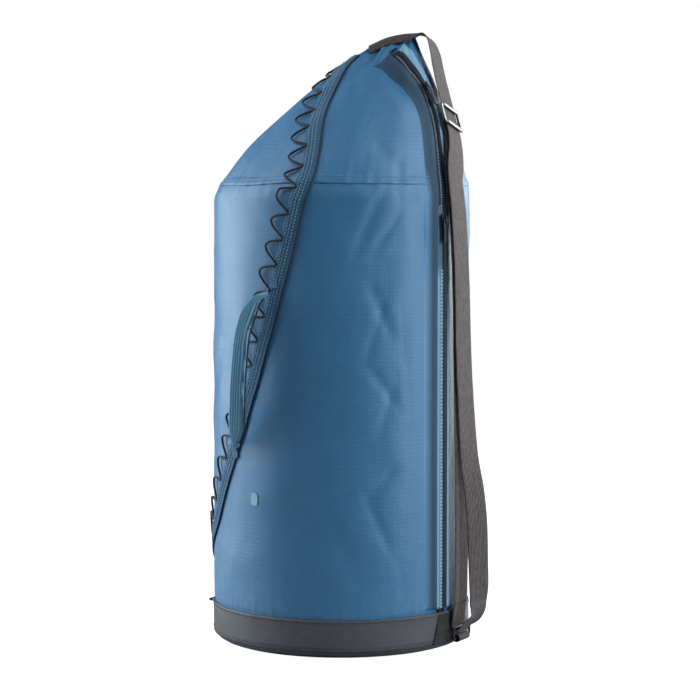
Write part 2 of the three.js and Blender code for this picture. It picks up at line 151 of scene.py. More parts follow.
STRAP_INNER = [
    (0.1370, -0.0425, 0.665, 66), (0.1417, -0.0525, 0.6440, 66), (0.1422, -0.0690, 0.621, 63),
    (0.141, -0.0834, 0.601, 60), (0.1446, -0.0919, 0.553, 58), (0.1486, -0.0885, 0.486, 58),
    (0.1502, -0.0866, 0.441, 57), (0.1513, -0.0852, 0.380, 57), (0.152, -0.0846, 0.325, 58),
    (0.1526, -0.0842, 0.239, 59), (0.153, -0.0838, 0.158, 60), (0.153, -0.0832, 0.100, 61),
    (0.152, -0.0824, 0.0565, 61.6),
]
BUCKLE = 10  # the outer layer's point where the buckle rests
STRAP_MIDDLE = 18  # the outer layer's point where its two halves meet
ANCHOR_AZIMUTH = 61.6
RIB_PITCH = 0.0038  # of the grab handle
RIB_RISE = 0.8 * MM
GRIP_HALF = (0.0125, 0.0030)  # the grab handle's half width and half thickness before it is filled
TAB_WIDE, TAB_TALL = 0.010, 0.014
BUCKLE_SIZE = (46 * MM, 25 * MM)
BUCKLE_WIRE = (5.2 * MM, 3.4 * MM)
RING_SIZE = (46.8 * MM, 14 * MM)
RING_WIRE = 1.6 * MM
RING_DISTANCE = 0.1742  # of the anchor ring's middle from the bag's axis
KEEPER_HALF, KEEPER_RADIUS = 15 * MM, 3.7 * MM
LABEL_PLACE = (-40, 0.194)  # (azimuth, along) of the blank label's middle
LABEL_HALF = (5.2 * MM, 8 * MM)


# ==== the skin ====
def turned(azimuth):
    a = np.radians(np.asarray(azimuth, float))
    return np.sin(a), -np.cos(a)


def skin_point(azimuth, along):
    azimuth, along = np.broadcast_arrays(np.asarray(azimuth, float), np.asarray(along, float))
    side, front = turned(azimuth)
    start = np.stack([RADIUS * side, RADIUS * front, np.full_like(side, SHOULDER)], -1)
    end = RIDGE + np.stack([RIDGE_HALF * side, RIDGE_DEPTH * front, RIDGE_TILT * side], -1)
    rise = start + [0, 0, SHOULDER_RISE]
    crown = end + (start - end) * 0.24
    crown[..., 2] = end[..., 2] - 0.029 - 0.006 * side
    t = np.clip((along - SHOULDER) / TAPER, 0, 1)[..., None]
    top = (1 - t) ** 3 * start + 3 * (1 - t) ** 2 * t * rise + 3 * (1 - t) * t * t * crown + t**3 * end
    tube = start.copy()
    tube[..., 2] = along
    return np.where(t > 0, top, tube)


def skin_normal(azimuth, along):
    step = 0.05
    low = np.minimum(along, RIDGE_TOP - 2 * MM)
    across = skin_point(azimuth + step, low) - skin_point(azimuth - step, low)
    up = skin_point(azimuth, low + step * MM) - skin_point(azimuth, low - step * MM)
    return unit(np.cross(across, up))


def skin(azimuth, along, off=0.0):
    azimuth, along = np.asarray(azimuth, float), np.asarray(along, float)
    return skin_point(azimuth, along) + skin_normal(azimuth, along) * np.asarray(off)[..., None]


def unit(v):
    return v / np.maximum(np.linalg.norm(v, axis=-1, keepdims=True), 1e-12)


def ramp(x, low, high):
    t = np.clip((x - low) / (high - low), 0, 1)
    return t * t * (3 - 2 * t)


def smooth_path(points, count):
    """count places on one smooth line through the points, each point's extra values carried along."""
    p = np.array(points, float)
    p = np.vstack([2 * p[0] - p[1], p, 2 * p[-1] - p[-2]])
    lengths = np.sqrt(np.linalg.norm(np.diff(p[:, :3], axis=0), axis=1))
    knots = np.concatenate([[0], np.cumsum(lengths)])
    t = np.linspace(knots[1], knots[-2], count)
    i = np.clip(np.searchsorted(knots, t, side="right") - 1, 1, len(points) - 1)
    out = np.zeros((count, p.shape[1]))
    for n in range(count):
        k, q = knots[i[n] - 1:i[n] + 3], p[i[n] - 1:i[n] + 3]
        a = [((k[j + 1] - t[n]) * q[j] + (t[n] - k[j]) * q[j + 1]) / (k[j + 1] - k[j]) for j in range(3)]
        b = [((k[j + 2] - t[n]) * a[j] + (t[n] - k[j]) * a[j + 1]) / (k[j + 2] - k[j]) for j in range(2)]
        out[n] = ((k[2] - t[n]) * b[0] + (t[n] - k[1]) * b[1]) / (k[2] - k[1])
    return out


def run_along(points):
    """How far each point is along the line through them."""
    return np.concatenate([[0], np.cumsum(np.linalg.norm(np.diff(points, axis=0), axis=1))])


def evenly(path, count):
    """The same line with its places an equal distance apart."""
    run = run_along(path[:, :3])
    at = np.linspace(0, run[-1], count)
    return np.stack([np.interp(at, run, path[:, c]) for c in range(path.shape[1])], -1)


def length_of(path):
    return float(np.linalg.norm(np.diff(path[:, :3], axis=0), axis=1).sum())


class Route:
    """A line over the skin, measured on the unrolled tube."""

    def __init__(self, points):
        flat = [(a * DEGREE, h, 0) for a, h in points]
        flat = evenly(smooth_path(flat, 1200), 1200)
        over = skin(flat[:, 0] / DEGREE, flat[:, 1])
        self.length = length_of(over)
        self.path = evenly(np.hstack([over, flat]), 600)[:, 3:]
        self.tangent = unit(np.gradient(self.path, axis=0))

    def at(self, t):
        t = np.asarray(t, float) * (len(self.path) - 1)
        index = np.arange(len(self.path))
        point = [np.interp(t, index, self.path[:, c]) for c in range(2)]
        tangent = [np.interp(t, index, self.tangent[:, c]) for c in range(2)]
        return point[0] / DEGREE, point[1], tangent[0], tangent[1]

    def beside(self, t, aside, off):
        """The place aside to the right of the route, off the bag's cloth."""
        azimuth, along, east, north = self.at(t)
        step = 0.05
        reach = skin_point(azimuth + step, along) - skin_point(azimuth - step, along)
        around_length = np.linalg.norm(reach, axis=-1) / (2 * step)
        climb_rate = np.interp(along, MERIDIAN, np.gradient(CLIMB, MERIDIAN))
        east, north = east / DEGREE * around_length, north * climb_rate
        span = np.hypot(east, north)
        azimuth = azimuth + aside * north / span / around_length
        climb = np.interp(along, MERIDIAN, CLIMB) - aside * east / span
        along = np.interp(climb, CLIMB, MERIDIAN)
        return skin(azimuth, along, off + cloth_off(azimuth, along))


# The true length up the skin at each place along a meridian of its front.
MERIDIAN = np.linspace(0, RIDGE_TOP, 3000)
CLIMB = run_along(skin_point(-20.0, MERIDIAN))


# ==== meshes ====
def make_object(name, points, faces, flat=None, material=None):
    """A smooth mesh; flat holds each point's (across, along) in metres, for the weave."""
    mesh = bpy.data.meshes.new(name)
    mesh.from_pydata(np.asarray(points).tolist(), [], [list(map(int, f)) for f in faces])
    if flat is not None:
        layer = mesh.uv_layers.new(name="Flat")
        loops = np.zeros(len(mesh.loops), int)
        mesh.loops.foreach_get("vertex_index", loops)
        layer.data.foreach_set("uv", np.asarray(flat, float)[loops].ravel())
    mesh.polygons.foreach_set("use_smooth", [True] * len(mesh.polygons))
    if material:
        mesh.materials.append(material)
    mesh.validate()
    obj = bpy.data.objects.new(name, mesh)
    bpy.context.scene.collection.objects.link(obj)
    return obj


def grid_faces(rows, columns):
    index = np.arange(rows * columns).reshape(rows, columns)
    quads = [index[:-1, :-1], index[:-1, 1:], index[1:, 1:], index[1:, :-1]]
    return np.stack(quads, -1).reshape(-1, 4)


def tube_faces(rows, columns):
    """Faces between rings of points, each ring closed."""
    index = np.arange(rows * columns).reshape(rows, columns)
    nxt = np.roll(index, -1, axis=1)
    return np.stack([index[:-1], nxt[:-1], nxt[1:], index[1:]], -1).reshape(-1, 4)


def apply(obj, kind, **settings):
    modifier = obj.modifiers.new(kind, kind)
    for key, value in settings.items():
        setattr(modifier, key, value)
    bpy.context.view_layer.objects.active = obj
    bpy.ops.object.modifier_apply(modifier=modifier.name)


def cloth(name, azimuths, alongs, place, material, thickness=0.9 * MM, keep=None, closed=False):
    """A sheet over a grid of the skin, given thickness inwards. place(azimuth, along) gives its points."""
    azimuth, along = np.meshgrid(azimuths, alongs)
    points = place(azimuth, along).reshape(-1, 3)
    faces = grid_faces(len(alongs), len(azimuths))
    if keep is not None:
        middle = (azimuth[:-1, :-1] + azimuth[:-1, 1:]) / 2, (along[:-1, :-1] + along[1:, :-1]) / 2
        faces = faces[keep(*middle).ravel()]
    flat = np.stack([azimuth * DEGREE, along], -1).reshape(-1, 2)
    obj = make_object(name, points, faces, flat, material)
    if closed:
        apply(obj, "WELD", merge_threshold=1e-5)
    apply(obj, "SOLIDIFY", thickness=thickness, offset=-1)
    return obj


def sheet(name, points, flat, material, thickness, offset=-1, weld=False):
    """Cloth over a grid of points. flat holds each point's (across, along) in metres."""
    faces = grid_faces(*points.shape[:2])
    obj = make_object(name, points.reshape(-1, 3), faces, flat.reshape(-1, 2), material)
    if weld:
        apply(obj, "WELD", merge_threshold=1e-5)
    apply(obj, "SOLIDIFY", thickness=thickness, offset=offset)
    return obj


def sweep(name, centres, across, face, section, material, scale=None, caps=(True, True)):
    """A closed section carried along a line. section is (across, out) pairs in metres."""
    section = np.asarray(section, float)
    count, sides = len(centres), len(section)
    size = np.ones((count, 2)) if scale is None else np.asarray(scale).reshape(count, 2)
    points = (centres[:, None] + across[:, None] * (section[None, :, :1] * size[:, None, :1])
              + face[:, None] * (section[None, :, 1:] * size[:, None, 1:]))
    run = run_along(centres)
    flat = np.stack(np.broadcast_arrays(section[None, :, 0], run[:, None]), -1)
    first, last = list(range(sides)), list(range((count - 1) * sides, count * sides))
    faces = tube_faces(count, sides).tolist() + [first[::-1]] * caps[0] + [last] * caps[1]
    return make_object(name, points.reshape(-1, 3), faces, flat.reshape(-1, 2), material)


def band_section(width, thickness, columns, edge=1.0):
    """A flat woven band's section: round edges, the middle thinner by edge."""
    x = np.linspace(-1, 1, columns)
    half = thickness / 2 * np.sqrt(np.clip(1 - np.abs(x) ** 8, 0.02, 1))
    half = half * (edge + (1 - edge) * np.abs(x) ** 6)
    x = x * width / 2
    return np.vstack([np.stack([x, -half], -1), np.stack([x, half], -1)[::-1]])


def band_frames(points, count):
    """Evenly spaced centres, across and face directions of a strap given with its facing azimuth."""
    path = evenly(smooth_path(points, count * 3), count)
    centres = path[:, :3]
    tangent = unit(np.gradient(centres, axis=0))
    look = np.radians(path[:, 3])
    across = np.stack([np.cos(look), np.sin(look), np.zeros(count)], -1)
    across = unit(across - tangent * (across * tangent).sum(-1, keepdims=True))
    return centres, across, np.cross(tangent, across)


def line_frames(centres):
    """Frames that don't twist, along a line."""
    tangent = unit(np.gradient(centres, axis=0))
    across = np.zeros_like(centres)
    seed = np.array([0.0, 0.0, 1.0]) if abs(tangent[0][2]) < 0.9 else np.array([1.0, 0.0, 0.0])
    current = seed
    for i, t in enumerate(tangent):
        current = current - t * current.dot(t)
        current = current / np.linalg.norm(current)
        across[i] = current
    return across, np.cross(tangent, across)


def round_section(radius, sides):
    turn = np.linspace(0, 2 * np.pi, sides, endpoint=False)
    return np.stack([radius * np.cos(turn), radius * np.sin(turn)], -1)


def cord(name, centres, radius, material, sides=8):
    across, face = line_frames(centres)
    return sweep(name, centres, across, face, round_section(radius, sides), material)


def copies(name, centres, tangent, face, template, material):
    """One mesh of the template repeated. Its x runs across, y along and z out."""
    points, faces = template
    across = unit(np.cross(tangent, face))
    out = (centres[:, None] + across[:, None] * points[None, :, :1]
           + tangent[:, None] * points[None, :, 1:2] + face[:, None] * points[None, :, 2:])
    step = np.arange(len(centres))[:, None, None] * len(points)
    every = (np.asarray(faces)[None] + step).reshape(-1, np.asarray(faces).shape[1])
    flat = np.tile(points[:, :2], (len(centres), 1))
    return make_object(name, out.reshape(-1, 3), every, flat, material)


def stitch_shape(length, radius, lean=0.0):
    """A short arched thread, closed at both ends."""
    rings = np.array([[-0.5, 0.35, -0.6], [-0.38, 0.9, 0.1], [-0.12, 1, 0.5], [0.12, 1, 0.5],
                      [0.38, 0.9, 0.1], [0.5, 0.35, -0.6]])
    section = round_section(radius, 6)
    points = []
    for y, size, rise in rings:
        for x, z in section:
            points.append((x * size + lean * y * length, y * length, z * size + rise * radius))
    faces = []
    for r in range(len(rings) - 1):
        for s in range(6):
            a, b = r * 6 + s, r * 6 + (s + 1) % 6
            faces.append((a, b, b + 6, a + 6))
    last = (len(rings) - 1) * 6
    faces += [(3, 2, 1, 0), (5, 4, 3, 0), (last, last + 1, last + 2, last + 3),
              (last, last + 3, last + 4, last + 5)]
    return np.array(points), np.array(faces)


def stitches(name, centres, normal, material, pitch=3.2 * MM, radius=0.35 * MM, lean=0.0):
    """A row of stitches along a line on a surface."""
    count = max(2, int(length_of(centres) / pitch))
    both = evenly(np.hstack([centres, normal]), count)
    line, face = both[:, :3], unit(both[:, 3:])
    tangent = unit(np.gradient(line, axis=0))
    return copies(name, line, tangent, face, stitch_shape(pitch * 0.72, radius, lean), material)


def keep_on(obj, body, slot, *nodes):
    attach(obj, body)
    if nodes:
        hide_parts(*nodes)


def bend_on(obj, a, b, start, end, slot, *nodes):
    """Hides the named CAD nodes and bakes the piece's transform into its mesh. a, b, start and end are not
    used.
    """
    if nodes:
        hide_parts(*nodes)
    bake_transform(obj)


# ==== materials ====
class Nodes:
    """Short names for the few shader nodes that the materials use."""

    def __init__(self, name):
        self.material = bpy.data.materials.new(name)
        self.material.use_nodes = True
        self.tree = self.material.node_tree
        self.shader = self.tree.nodes["Principled BSDF"]

    def add(self, kind, **settings):
        node = self.tree.nodes.new(kind)
        for key, value in settings.items():
            setattr(node, key, value)
        return node

    def link(self, source, target):
        self.tree.links.new(source, target)

    def feed(self, socket, value):
        """Set a socket to a colour or a number, or link it to another node's output."""
        if isinstance(value, tuple):
            socket.default_value = (*value, 1)
        elif isinstance(value, (int, float)):
            socket.default_value = value
        elif value is not None:
            self.link(value, socket)

    def math(self, operation, a, b=None, c=None):
        node = self.add("ShaderNodeMath", operation=operation)
        for socket, value in zip(node.inputs, (a, b, c)):
            self.feed(socket, value)
        return node.outputs[0]

    def times(self, a, b):
        return self.math("MULTIPLY", a, b)

    def fit(self, value, scale, start):
        """value times scale, plus start."""
        return self.math("MULTIPLY_ADD", value, scale, start)

    def flat(self):
        uv = self.add("ShaderNodeUVMap", uv_map="Flat")
        parts = self.add("ShaderNodeSeparateXYZ")
        self.link(uv.outputs[0], parts.inputs[0])
        return parts.outputs[0], parts.outputs[1]

    def noise(self, scale, detail=3.0, roughness=0.5, stretch=(1, 1, 1)):
        place = self.add("ShaderNodeTexCoord")
        mapping = self.add("ShaderNodeMapping")
        mapping.inputs["Scale"].default_value = stretch
        self.link(place.outputs["Object"], mapping.inputs[0])
        noise = self.add("ShaderNodeTexNoise")
        noise.inputs["Scale"].default_value = scale
        noise.inputs["Detail"].default_value = detail
        noise.inputs["Roughness"].default_value = roughness
        self.link(mapping.outputs[0], noise.inputs["Vector"])
        return noise.outputs["Fac"]

    def ramp(self, value, stops):
        node = self.add("ShaderNodeValToRGB")
        ramp_ = node.color_ramp
        while len(ramp_.elements) < len(stops):
            ramp_.elements.new(0.5)
        for element, (position, colour) in zip(ramp_.elements, stops):
            element.position = position
            element.color = (*colour, 1)
        self.link(value, node.inputs[0])
        return node.outputs[0]

    def wave(self, value, period, sharpness=1.0):
        """0 to 1 hills along a coordinate, period metres apart."""
        turn = self.times(value, 2 * math.pi / period)
        hill = self.fit(self.math("SINE", turn), 0.5, 0.5)
        return hill if sharpness == 1 else self.math("POWER", hill, sharpness)

    def mix(self, factor, a, b):
        node = self.add("ShaderNodeMix", data_type="RGBA")
        for index, value in ((0, factor), (6, a), (7, b)):
            self.feed(node.inputs[index], value)
        return node.outputs[2]

    def bump(self, height, depth, below=None):
        node = self.add("ShaderNodeBump")
        node.inputs["Strength"].default_value = 1.0
        node.inputs["Distance"].default_value = depth
        self.link(height, node.inputs["Height"])
        if below is not None:
            self.link(below, node.inputs["Normal"])
        return node.outputs[0]

    def done(self, colour=None, roughness=None, normal=None):
        for socket, value in (("Base Color", colour), ("Roughness", roughness), ("Normal", normal)):
            self.feed(self.shader.inputs[socket], value)
        return self.material


def srgb(red, green, blue):
    return tuple(((c / 255 + 0.055) / 1.055) ** 2.4 if c > 10 else c / 255 / 12.92
                 for c in (red, green, blue))


def darker(colour, factor):
    return tuple(c * factor for c in colour)


BLUE = (0.043, 0.208, 0.430)
NAVY = srgb(24, 38, 60)
GREY = srgb(82, 82, 92)
WEB = srgb(92, 79, 83)


def coated_cloth(name, colour, weave=3.4 * MM, roughness=0.34, shade=None, depth=0.30 * MM):
    """Coated ripstop: a lattice of raised dots, faint thread lines, soft gloss and handling marks."""
    n = Nodes(name)
    u, v = n.flat()
    rising, falling = n.wave(n.math("ADD", u, v), weave, 2), n.wave(n.math("SUBTRACT", u, v), weave, 2)
    dots = n.times(rising, falling)
    lines = n.times(n.wave(v, 5.4 * MM, 5), n.noise(7, 2, 0.5, (1, 1, 0.5)))
    fine = n.times(n.wave(u, 0.9 * MM), n.wave(v, 0.9 * MM))
    base = n.mix(n.noise(9, 4, 0.55), darker(colour, 0.90), darker(colour, 1.08))
    base = n.mix(n.times(dots, 0.55), base, lighter(colour, 1.55))
    base = n.mix(n.times(lines, 0.22), base, lighter(colour, 1.6))
    rough = n.fit(n.noise(26, 3, 0.6), 0.16, roughness - 0.08)
    # Painted shade: beside the zip the lip's colour is darkened as the shade of its fold.
    if shade:
        inner = shade(n, u)
        base = n.mix(inner, base, darker(colour, 0.30))
        rough = n.fit(inner, 0.35, rough)
    height = n.fit(fine, 0.2, n.fit(lines, 0.25, dots))
    creases = n.bump(n.noise(30, 3, 0.55, (1, 1, 0.7)), 1.0 * MM)
    normal = n.bump(height, depth, creases)
    n.shader.inputs["Specular IOR Level"].default_value = 0.72
    n.shader.inputs["Sheen Weight"].default_value = 0.06
    n.shader.inputs["Sheen Roughness"].default_value = 0.5
    return n.done(base, rough, normal)


def lighter(colour, factor):
    """The colour as its threads catch light, drawn a little towards white."""
    return tuple(min(1.0, c * factor + 0.02) for c in colour)


def painted_placket_shade(n, u):
    """1 where the front lip rolls in beside the zip: there its colour is painted dark as the fold's shade,
    and it turns matt. 0 on its outer half.
    """
    gap = n.times(n.math("SUBTRACT", ZIP_LINE * DEGREE, u), 1 / LIP_WIDTH)
    return n.ramp(gap, [(0.0, (1, 1, 1)), (0.46, (1, 1, 1)), (0.72, (0, 0, 0)), (1.0, (0, 0, 0))])


def webbing(name, colour, rib=2.2 * MM, across=True, roughness=0.72, depth=0.22 * MM, contrast=0.75,
            flecks=0.0):
    """Woven tape: ribs along it, picks across it, its crests painted lighter and its hollows darker as
    painted highlight and shade, and, in a mottled yarn, dark flecks.
    """
    n = Nodes(name)
    u, v = n.flat()
    lengthwise = n.wave(u, rib)
    picks = n.wave(n.math("ADD", v, n.times(n.wave(u, rib * 2), rib * 0.5)), rib * 0.8)
    height = n.fit(picks, 0.6 if across else 0.2, lengthwise)
    fuzz = n.noise(240, 3, 0.6)
    # Painted highlight and shade: the weave's crests are painted lighter and its hollows darker, with
    # random fuzz in the yarn's tone.
    tone = n.fit(height, 0.45, n.times(fuzz, 0.3))
    base = n.mix(tone, darker(colour, contrast), darker(colour, 1.14))
    if flecks:
        spots = n.ramp(n.noise(300, 2, 0.7, (1, 1, 0.45)), [(0.44, (1, 1, 1)), (0.54, (0, 0, 0))])
        patches = n.fit(n.noise(24, 3, 0.6), 0.9, 0.25)
        dark = n.times(n.times(spots, patches), flecks)
        base = n.mix(dark, base, darker(colour, 0.28))
    normal = n.bump(height, depth)
    n.shader.inputs["Sheen Weight"].default_value = 0.06
    n.shader.inputs["Sheen Roughness"].default_value = 0.6
    return n.done(base, roughness, normal)


def tape_with_painted_shadow(name, low, high, shadow_start):
    """Fine tape, pale up to a height; above it, navy is painted in as shadow. Its crests are painted
    lighter than its hollows, as painted highlight.
    """
    n = Nodes(name)
    u, v = n.flat()
    rise = n.fit(n.math("SUBTRACT", v, shadow_start), 20.0, 0.5)
    # Painted shadow: above the height the tape's colour goes navy.
    above = n.ramp(rise, [(0.3, (0, 0, 0)), (0.7, (1, 1, 1))])
    height = n.math("MAXIMUM", n.wave(u, 1.1 * MM), n.wave(v, 0.9 * MM))
    valley, crest = n.mix(above, low, high), n.mix(above, lighter(low, 1.2), low)
    base = n.mix(n.times(height, 0.5), valley, crest)
    return n.done(base, 0.72, n.bump(height, 0.2 * MM))


def braid(name, colour, fleck):
    """Braided elastic: crossed strands, the hollows between them painted darker as painted shade, with a
    contrasting fleck.
    """
    n = Nodes(name)
    place = n.add("ShaderNodeTexCoord")
    parts = n.add("ShaderNodeSeparateXYZ")
    n.link(place.outputs["Object"], parts.inputs[0])
    x, z = parts.outputs[0], parts.outputs[2]
    one = n.wave(n.math("ADD", x, z), 1.6 * MM)
    two = n.wave(n.math("SUBTRACT", x, z), 1.6 * MM)
    height = n.math("MAXIMUM", one, two)
    spots = n.math("GREATER_THAN", n.noise(420, 1, 0.4), 0.60)
    # Painted shade in the hollows between strands; the flecks are the yarn's own colour.
    base = n.mix(n.times(spots, 0.6), n.mix(height, darker(colour, 0.55), colour), fleck)
    return n.done(base, 0.62, n.bump(height, 0.18 * MM))


def metal(name, colour, roughness=0.3):
    n = Nodes(name)
    wear = n.noise(180, 4, 0.7)
    base = n.mix(wear, darker(colour, 0.82), colour)
    rough = n.fit(n.noise(420, 2, 0.5), 0.2, roughness - 0.1)
    n.shader.inputs["Metallic"].default_value = 1.0
    return n.done(base, rough, n.bump(n.noise(600, 3, 0.6), 0.03 * MM))


def plastic(name, colour, roughness=0.4):
    n = Nodes(name)
    base = n.mix(n.noise(300, 2, 0.5), darker(colour, 0.85), darker(colour, 1.15))
    return n.done(base, roughness, n.bump(n.noise(500, 3, 0.6), 0.04 * MM))


def thread(name, colour):
    n = Nodes(name)
    twist = n.noise(1400, 2, 0.5)
    base = n.mix(twist, darker(colour, 0.75), darker(colour, 1.1))
    return n.done(base, 0.6, n.bump(twist, 0.05 * MM))


# ==== studio ====
def aim(obj, target):
    direction = Vector(target) - obj.location
    obj.rotation_euler = direction.to_track_quat("-Z", "Y").to_euler()


def softbox(name, place, target, width, height, power, colour=(1, 1, 1)):
    light = bpy.data.lights.new(name, "AREA")
    light.shape = "RECTANGLE"
    light.size, light.size_y = width, height
    light.energy = power
    light.color = colour
    obj = bpy.data.objects.new(name, light)
    bpy.context.scene.collection.objects.link(obj)
    obj.location = place
    aim(obj, target)


EYE = (0.0117, -2.6, 0.526)
EYE_TILT = 3.376  # degrees below level
EYE_LENS = 102.9  # mm, for a 36 mm sensor


def make_camera():
    camera = bpy.data.cameras.new("camera")
    camera.sensor_width = 36
    camera.lens = EYE_LENS
    eye = bpy.data.objects.new("camera", camera)
    bpy.context.scene.collection.objects.link(eye)
    eye.location = EYE
    eye.rotation_euler = (math.radians(90 - EYE_TILT), 0, 0)
    bpy.context.scene.camera = eye


def make_surroundings():
    """The floor and a world that the camera sees as white."""
    side = 30.0
    corners = [(-side, -side, 0), (side, -side, 0), (side, side, 0), (-side, side, 0)]
    floor = make_object("floor", corners, [(0, 1, 2, 3)], None, floor_paint())
    floor.location.z = -0.0002

    world = bpy.data.worlds.new("studio")
    bpy.context.scene.world = world
    world.use_nodes = True
    nodes, links = world.node_tree.nodes, world.node_tree.links
    path = nodes.new("ShaderNodeLightPath")
    seen = nodes.new("ShaderNodeMix")
    seen.data_type = "RGBA"
    links.new(path.outputs["Is Camera Ray"], seen.inputs[0])
    seen.inputs[6].default_value = (0.085, 0.09, 0.10, 1)
    seen.inputs[7].default_value = (1, 1, 1, 1)
    links.new(seen.outputs[2], nodes["Background"].inputs[0])


def make_studio():
    make_camera()
    make_surroundings()
    middle, cool = (0, 0, 0.40), (0.90, 1.0, 1.0)
    softbox("left_softbox", around(-108, 2.3, 0.75), middle, 2.0, 2.2, 66, (0.88, 0.98, 1.0))
    softbox("front_right_softbox", around(66, 2.3, 1.0), middle, 0.60, 2.6, 34, cool)
    softbox("back_right_softbox", around(125, 2.3, 0.80), middle, 1.2, 2.2, 60)
    softbox("top_left_softbox", (-1.5, -0.3, 2.2), middle, 1.2, 0.9, 15, (0.90, 0.98, 1.0))
    softbox("high_right_softbox", around(58, 1.7, 2.3), (0, 0, 0.65), 0.35, 0.9, 10, cool)
    view = bpy.context.scene.view_settings
    view.view_transform = "Standard"
    view.look = "None"


def around(azimuth, distance, height):
    side, front = turned(azimuth)
    return distance * float(side), distance * float(front), height


def floor_paint():
    """A pale studio floor that stays evenly bright into the distance."""
    n = Nodes("floor_paint")
    n.shader.inputs["Emission Color"].default_value = (1, 1, 1, 1)
    path = n.add("ShaderNodeLightPath")
    n.link(n.times(path.outputs["Is Camera Ray"], 0.985), n.shader.inputs["Emission Strength"])
    return n.done((0.42, 0.42, 0.42), 0.85)


# ==== the bag's cloth ====
WAVES = [(RANDOM.integers(2, 9), RANDOM.uniform(-14, 14), RANDOM.uniform(0, 6.28),
          RANDOM.uniform(0.4, 1.0)) for _ in range(14)]
CREASES = [
    # (azimuth, along) at both ends, half width and depth: soft folds in the filled cloth
    ((6, 0.50), (19, 0.58), 0.008, 1.8), ((14, 0.50), (27, 0.55), 0.006, 1.3),
    ((13, 0.46), (22, 0.40), 0.008, 1.7), ((20, 0.45), (10, 0.36), 0.007, 1.2),
    ((12, 0.36), (26, 0.31), 0.008, 1.7), ((16, 0.27), (24, 0.34), 0.007, 1.2),
    ((12, 0.20), (24, 0.235), 0.007, 1.6), ((11, 0.20), (22, 0.13), 0.008, 1.7),
    ((-12, 0.22), (6, 0.11), 0.012, 1.3), ((28, 0.42), (32, 0.30), 0.006, 0.9),
    ((26, 0.12), (30, 0.06), 0.007, 0.8), ((-60, 0.40), (-80, 0.30), 0.013, 1.0),
    ((120, 0.50), (150, 0.36), 0.014, 1.3), ((200, 0.20), (170, 0.32), 0.014, 1.2),
    ((-120, 0.52), (-150, 0.40), 0.013, 1.1), ((90, 0.24), (110, 0.12), 0.011, 1.0),
]


FACETS = [(RANDOM.uniform(0, math.pi), RANDOM.uniform(0.055, 0.12), RANDOM.uniform(0, 1),
           RANDOM.integers(1, 5), RANDOM.uniform(4, 16), RANDOM.uniform(0, 6.28)) for _ in range(16)]


def crumple(azimuth, along):
    """Flat facets with soft creases between them, as coated cloth takes when it is filled."""
    a, x = np.radians(azimuth), azimuth * DEGREE
    total = 0.0
    for heading, length, start, turns, rise, phase in FACETS:
        where = (x * math.cos(heading) + along * math.sin(heading)) / length + start
        fold = np.abs(where - np.floor(where) - 0.5) * 2
        patch = np.clip(np.sin(turns * a + rise * along + phase), 0, 1) ** 2
        total = total + (np.sqrt(fold**2 + 0.01) - 0.5) * patch * length / 0.09
    return total


def zip_zone(azimuth):
    """1 beside the lower zip, where the cloth lies smooth for the lips to slide on."""
    return np.exp(-((azimuth - 51) / 24) ** 6)


def zip_dip(azimuth, along):
    """How far the wall lies back under the lips."""
    return 0.8 * MM * zip_zone(azimuth) * (1 - ramp(along, SLOT_TOP, YOKE_SEAM))


def crease(azimuth, along, start, end, width):
    """1 on a line between two places on the skin, falling to 0 beside it and at its ends."""
    x, y = azimuth * DEGREE, along
    ax, ay = start[0] * DEGREE, start[1]
    dx, dy = end[0] * DEGREE - ax, end[1] - ay
    span = math.hypot(dx, dy)
    run = ((x - ax) * dx + (y - ay) * dy) / span**2
    side = ((x - ax) * dy - (y - ay) * dx) / span
    ends = ramp(run, -0.25, 0.25) * (1 - ramp(run, 0.75, 1.25))
    return np.exp(-(side / width) ** 2) * ends


def folded(off, azimuth, along, folds, shrink=1.0):
    """The distance off the skin, less the depth of the named folds."""
    for start, end, width, depth in folds:
        middle = (start[0] + end[0]) / 2
        near = (azimuth - middle + 180) % 360 - 180 + middle
        off = off - crease(near, along, start, end, width / shrink) * depth * MM
    return off


def signed(azimuth):
    """The same azimuth, between -180 and 180."""
    return (azimuth + 180) % 360 - 180


def by_zip(azimuth):
    """1 at the zip's line, falling to 0 about 25 degrees from it."""
    return np.exp(-((azimuth - 50) / 16) ** 4)


def swell(azimuth, along):
    """How far the filled cloth stands off the skin: slow waves and soft folds, calmer by the zip."""
    a = np.radians(azimuth)
    total = sum(size * np.sin(m * a + k * along + p) for m, k, p, size in WAVES) * 0.30 * MM
    wrapped = signed(azimuth)
    total = total + crumple(wrapped, along) * 1.0 * MM * (1 - ramp(np.abs(wrapped), 165, 180))
    total = folded(total, wrapped, along, CREASES)
    held = ramp(along, BAND_TOP - 0.002, BAND_TOP + 0.05)
    return total * (1 - zip_zone(wrapped)) * held - zip_dip(wrapped, along)


def puckers(azimuth, distance, depth=0.55, reach=0.028, count=66):
    """Fine gathers beside a seam, distance metres away from it."""
    a = np.radians(azimuth)
    gather = np.sin(count * a + 2 * np.sin(7 * a)) * 0.6 + np.sin(count * 0.55 * a + 1) * 0.5
    return gather * depth * MM * np.exp(-np.abs(distance) / reach)


def body_off(azimuth, along):
    off = swell(azimuth, along)
    off = off + puckers(azimuth, YOKE_SEAM - along, 0.35) * (1 - 0.8 * by_zip(azimuth))
    off = off + puckers(azimuth, along - BAND_TOP, 0.35, 0.016, 80)
    return off - 0.9 * MM * (1 - ramp(np.minimum(YOKE_SEAM - along, along - BAND_TOP), 0, 0.006))


def body_place(azimuth, along):
    return skin(azimuth, along, body_off(azimuth, along))


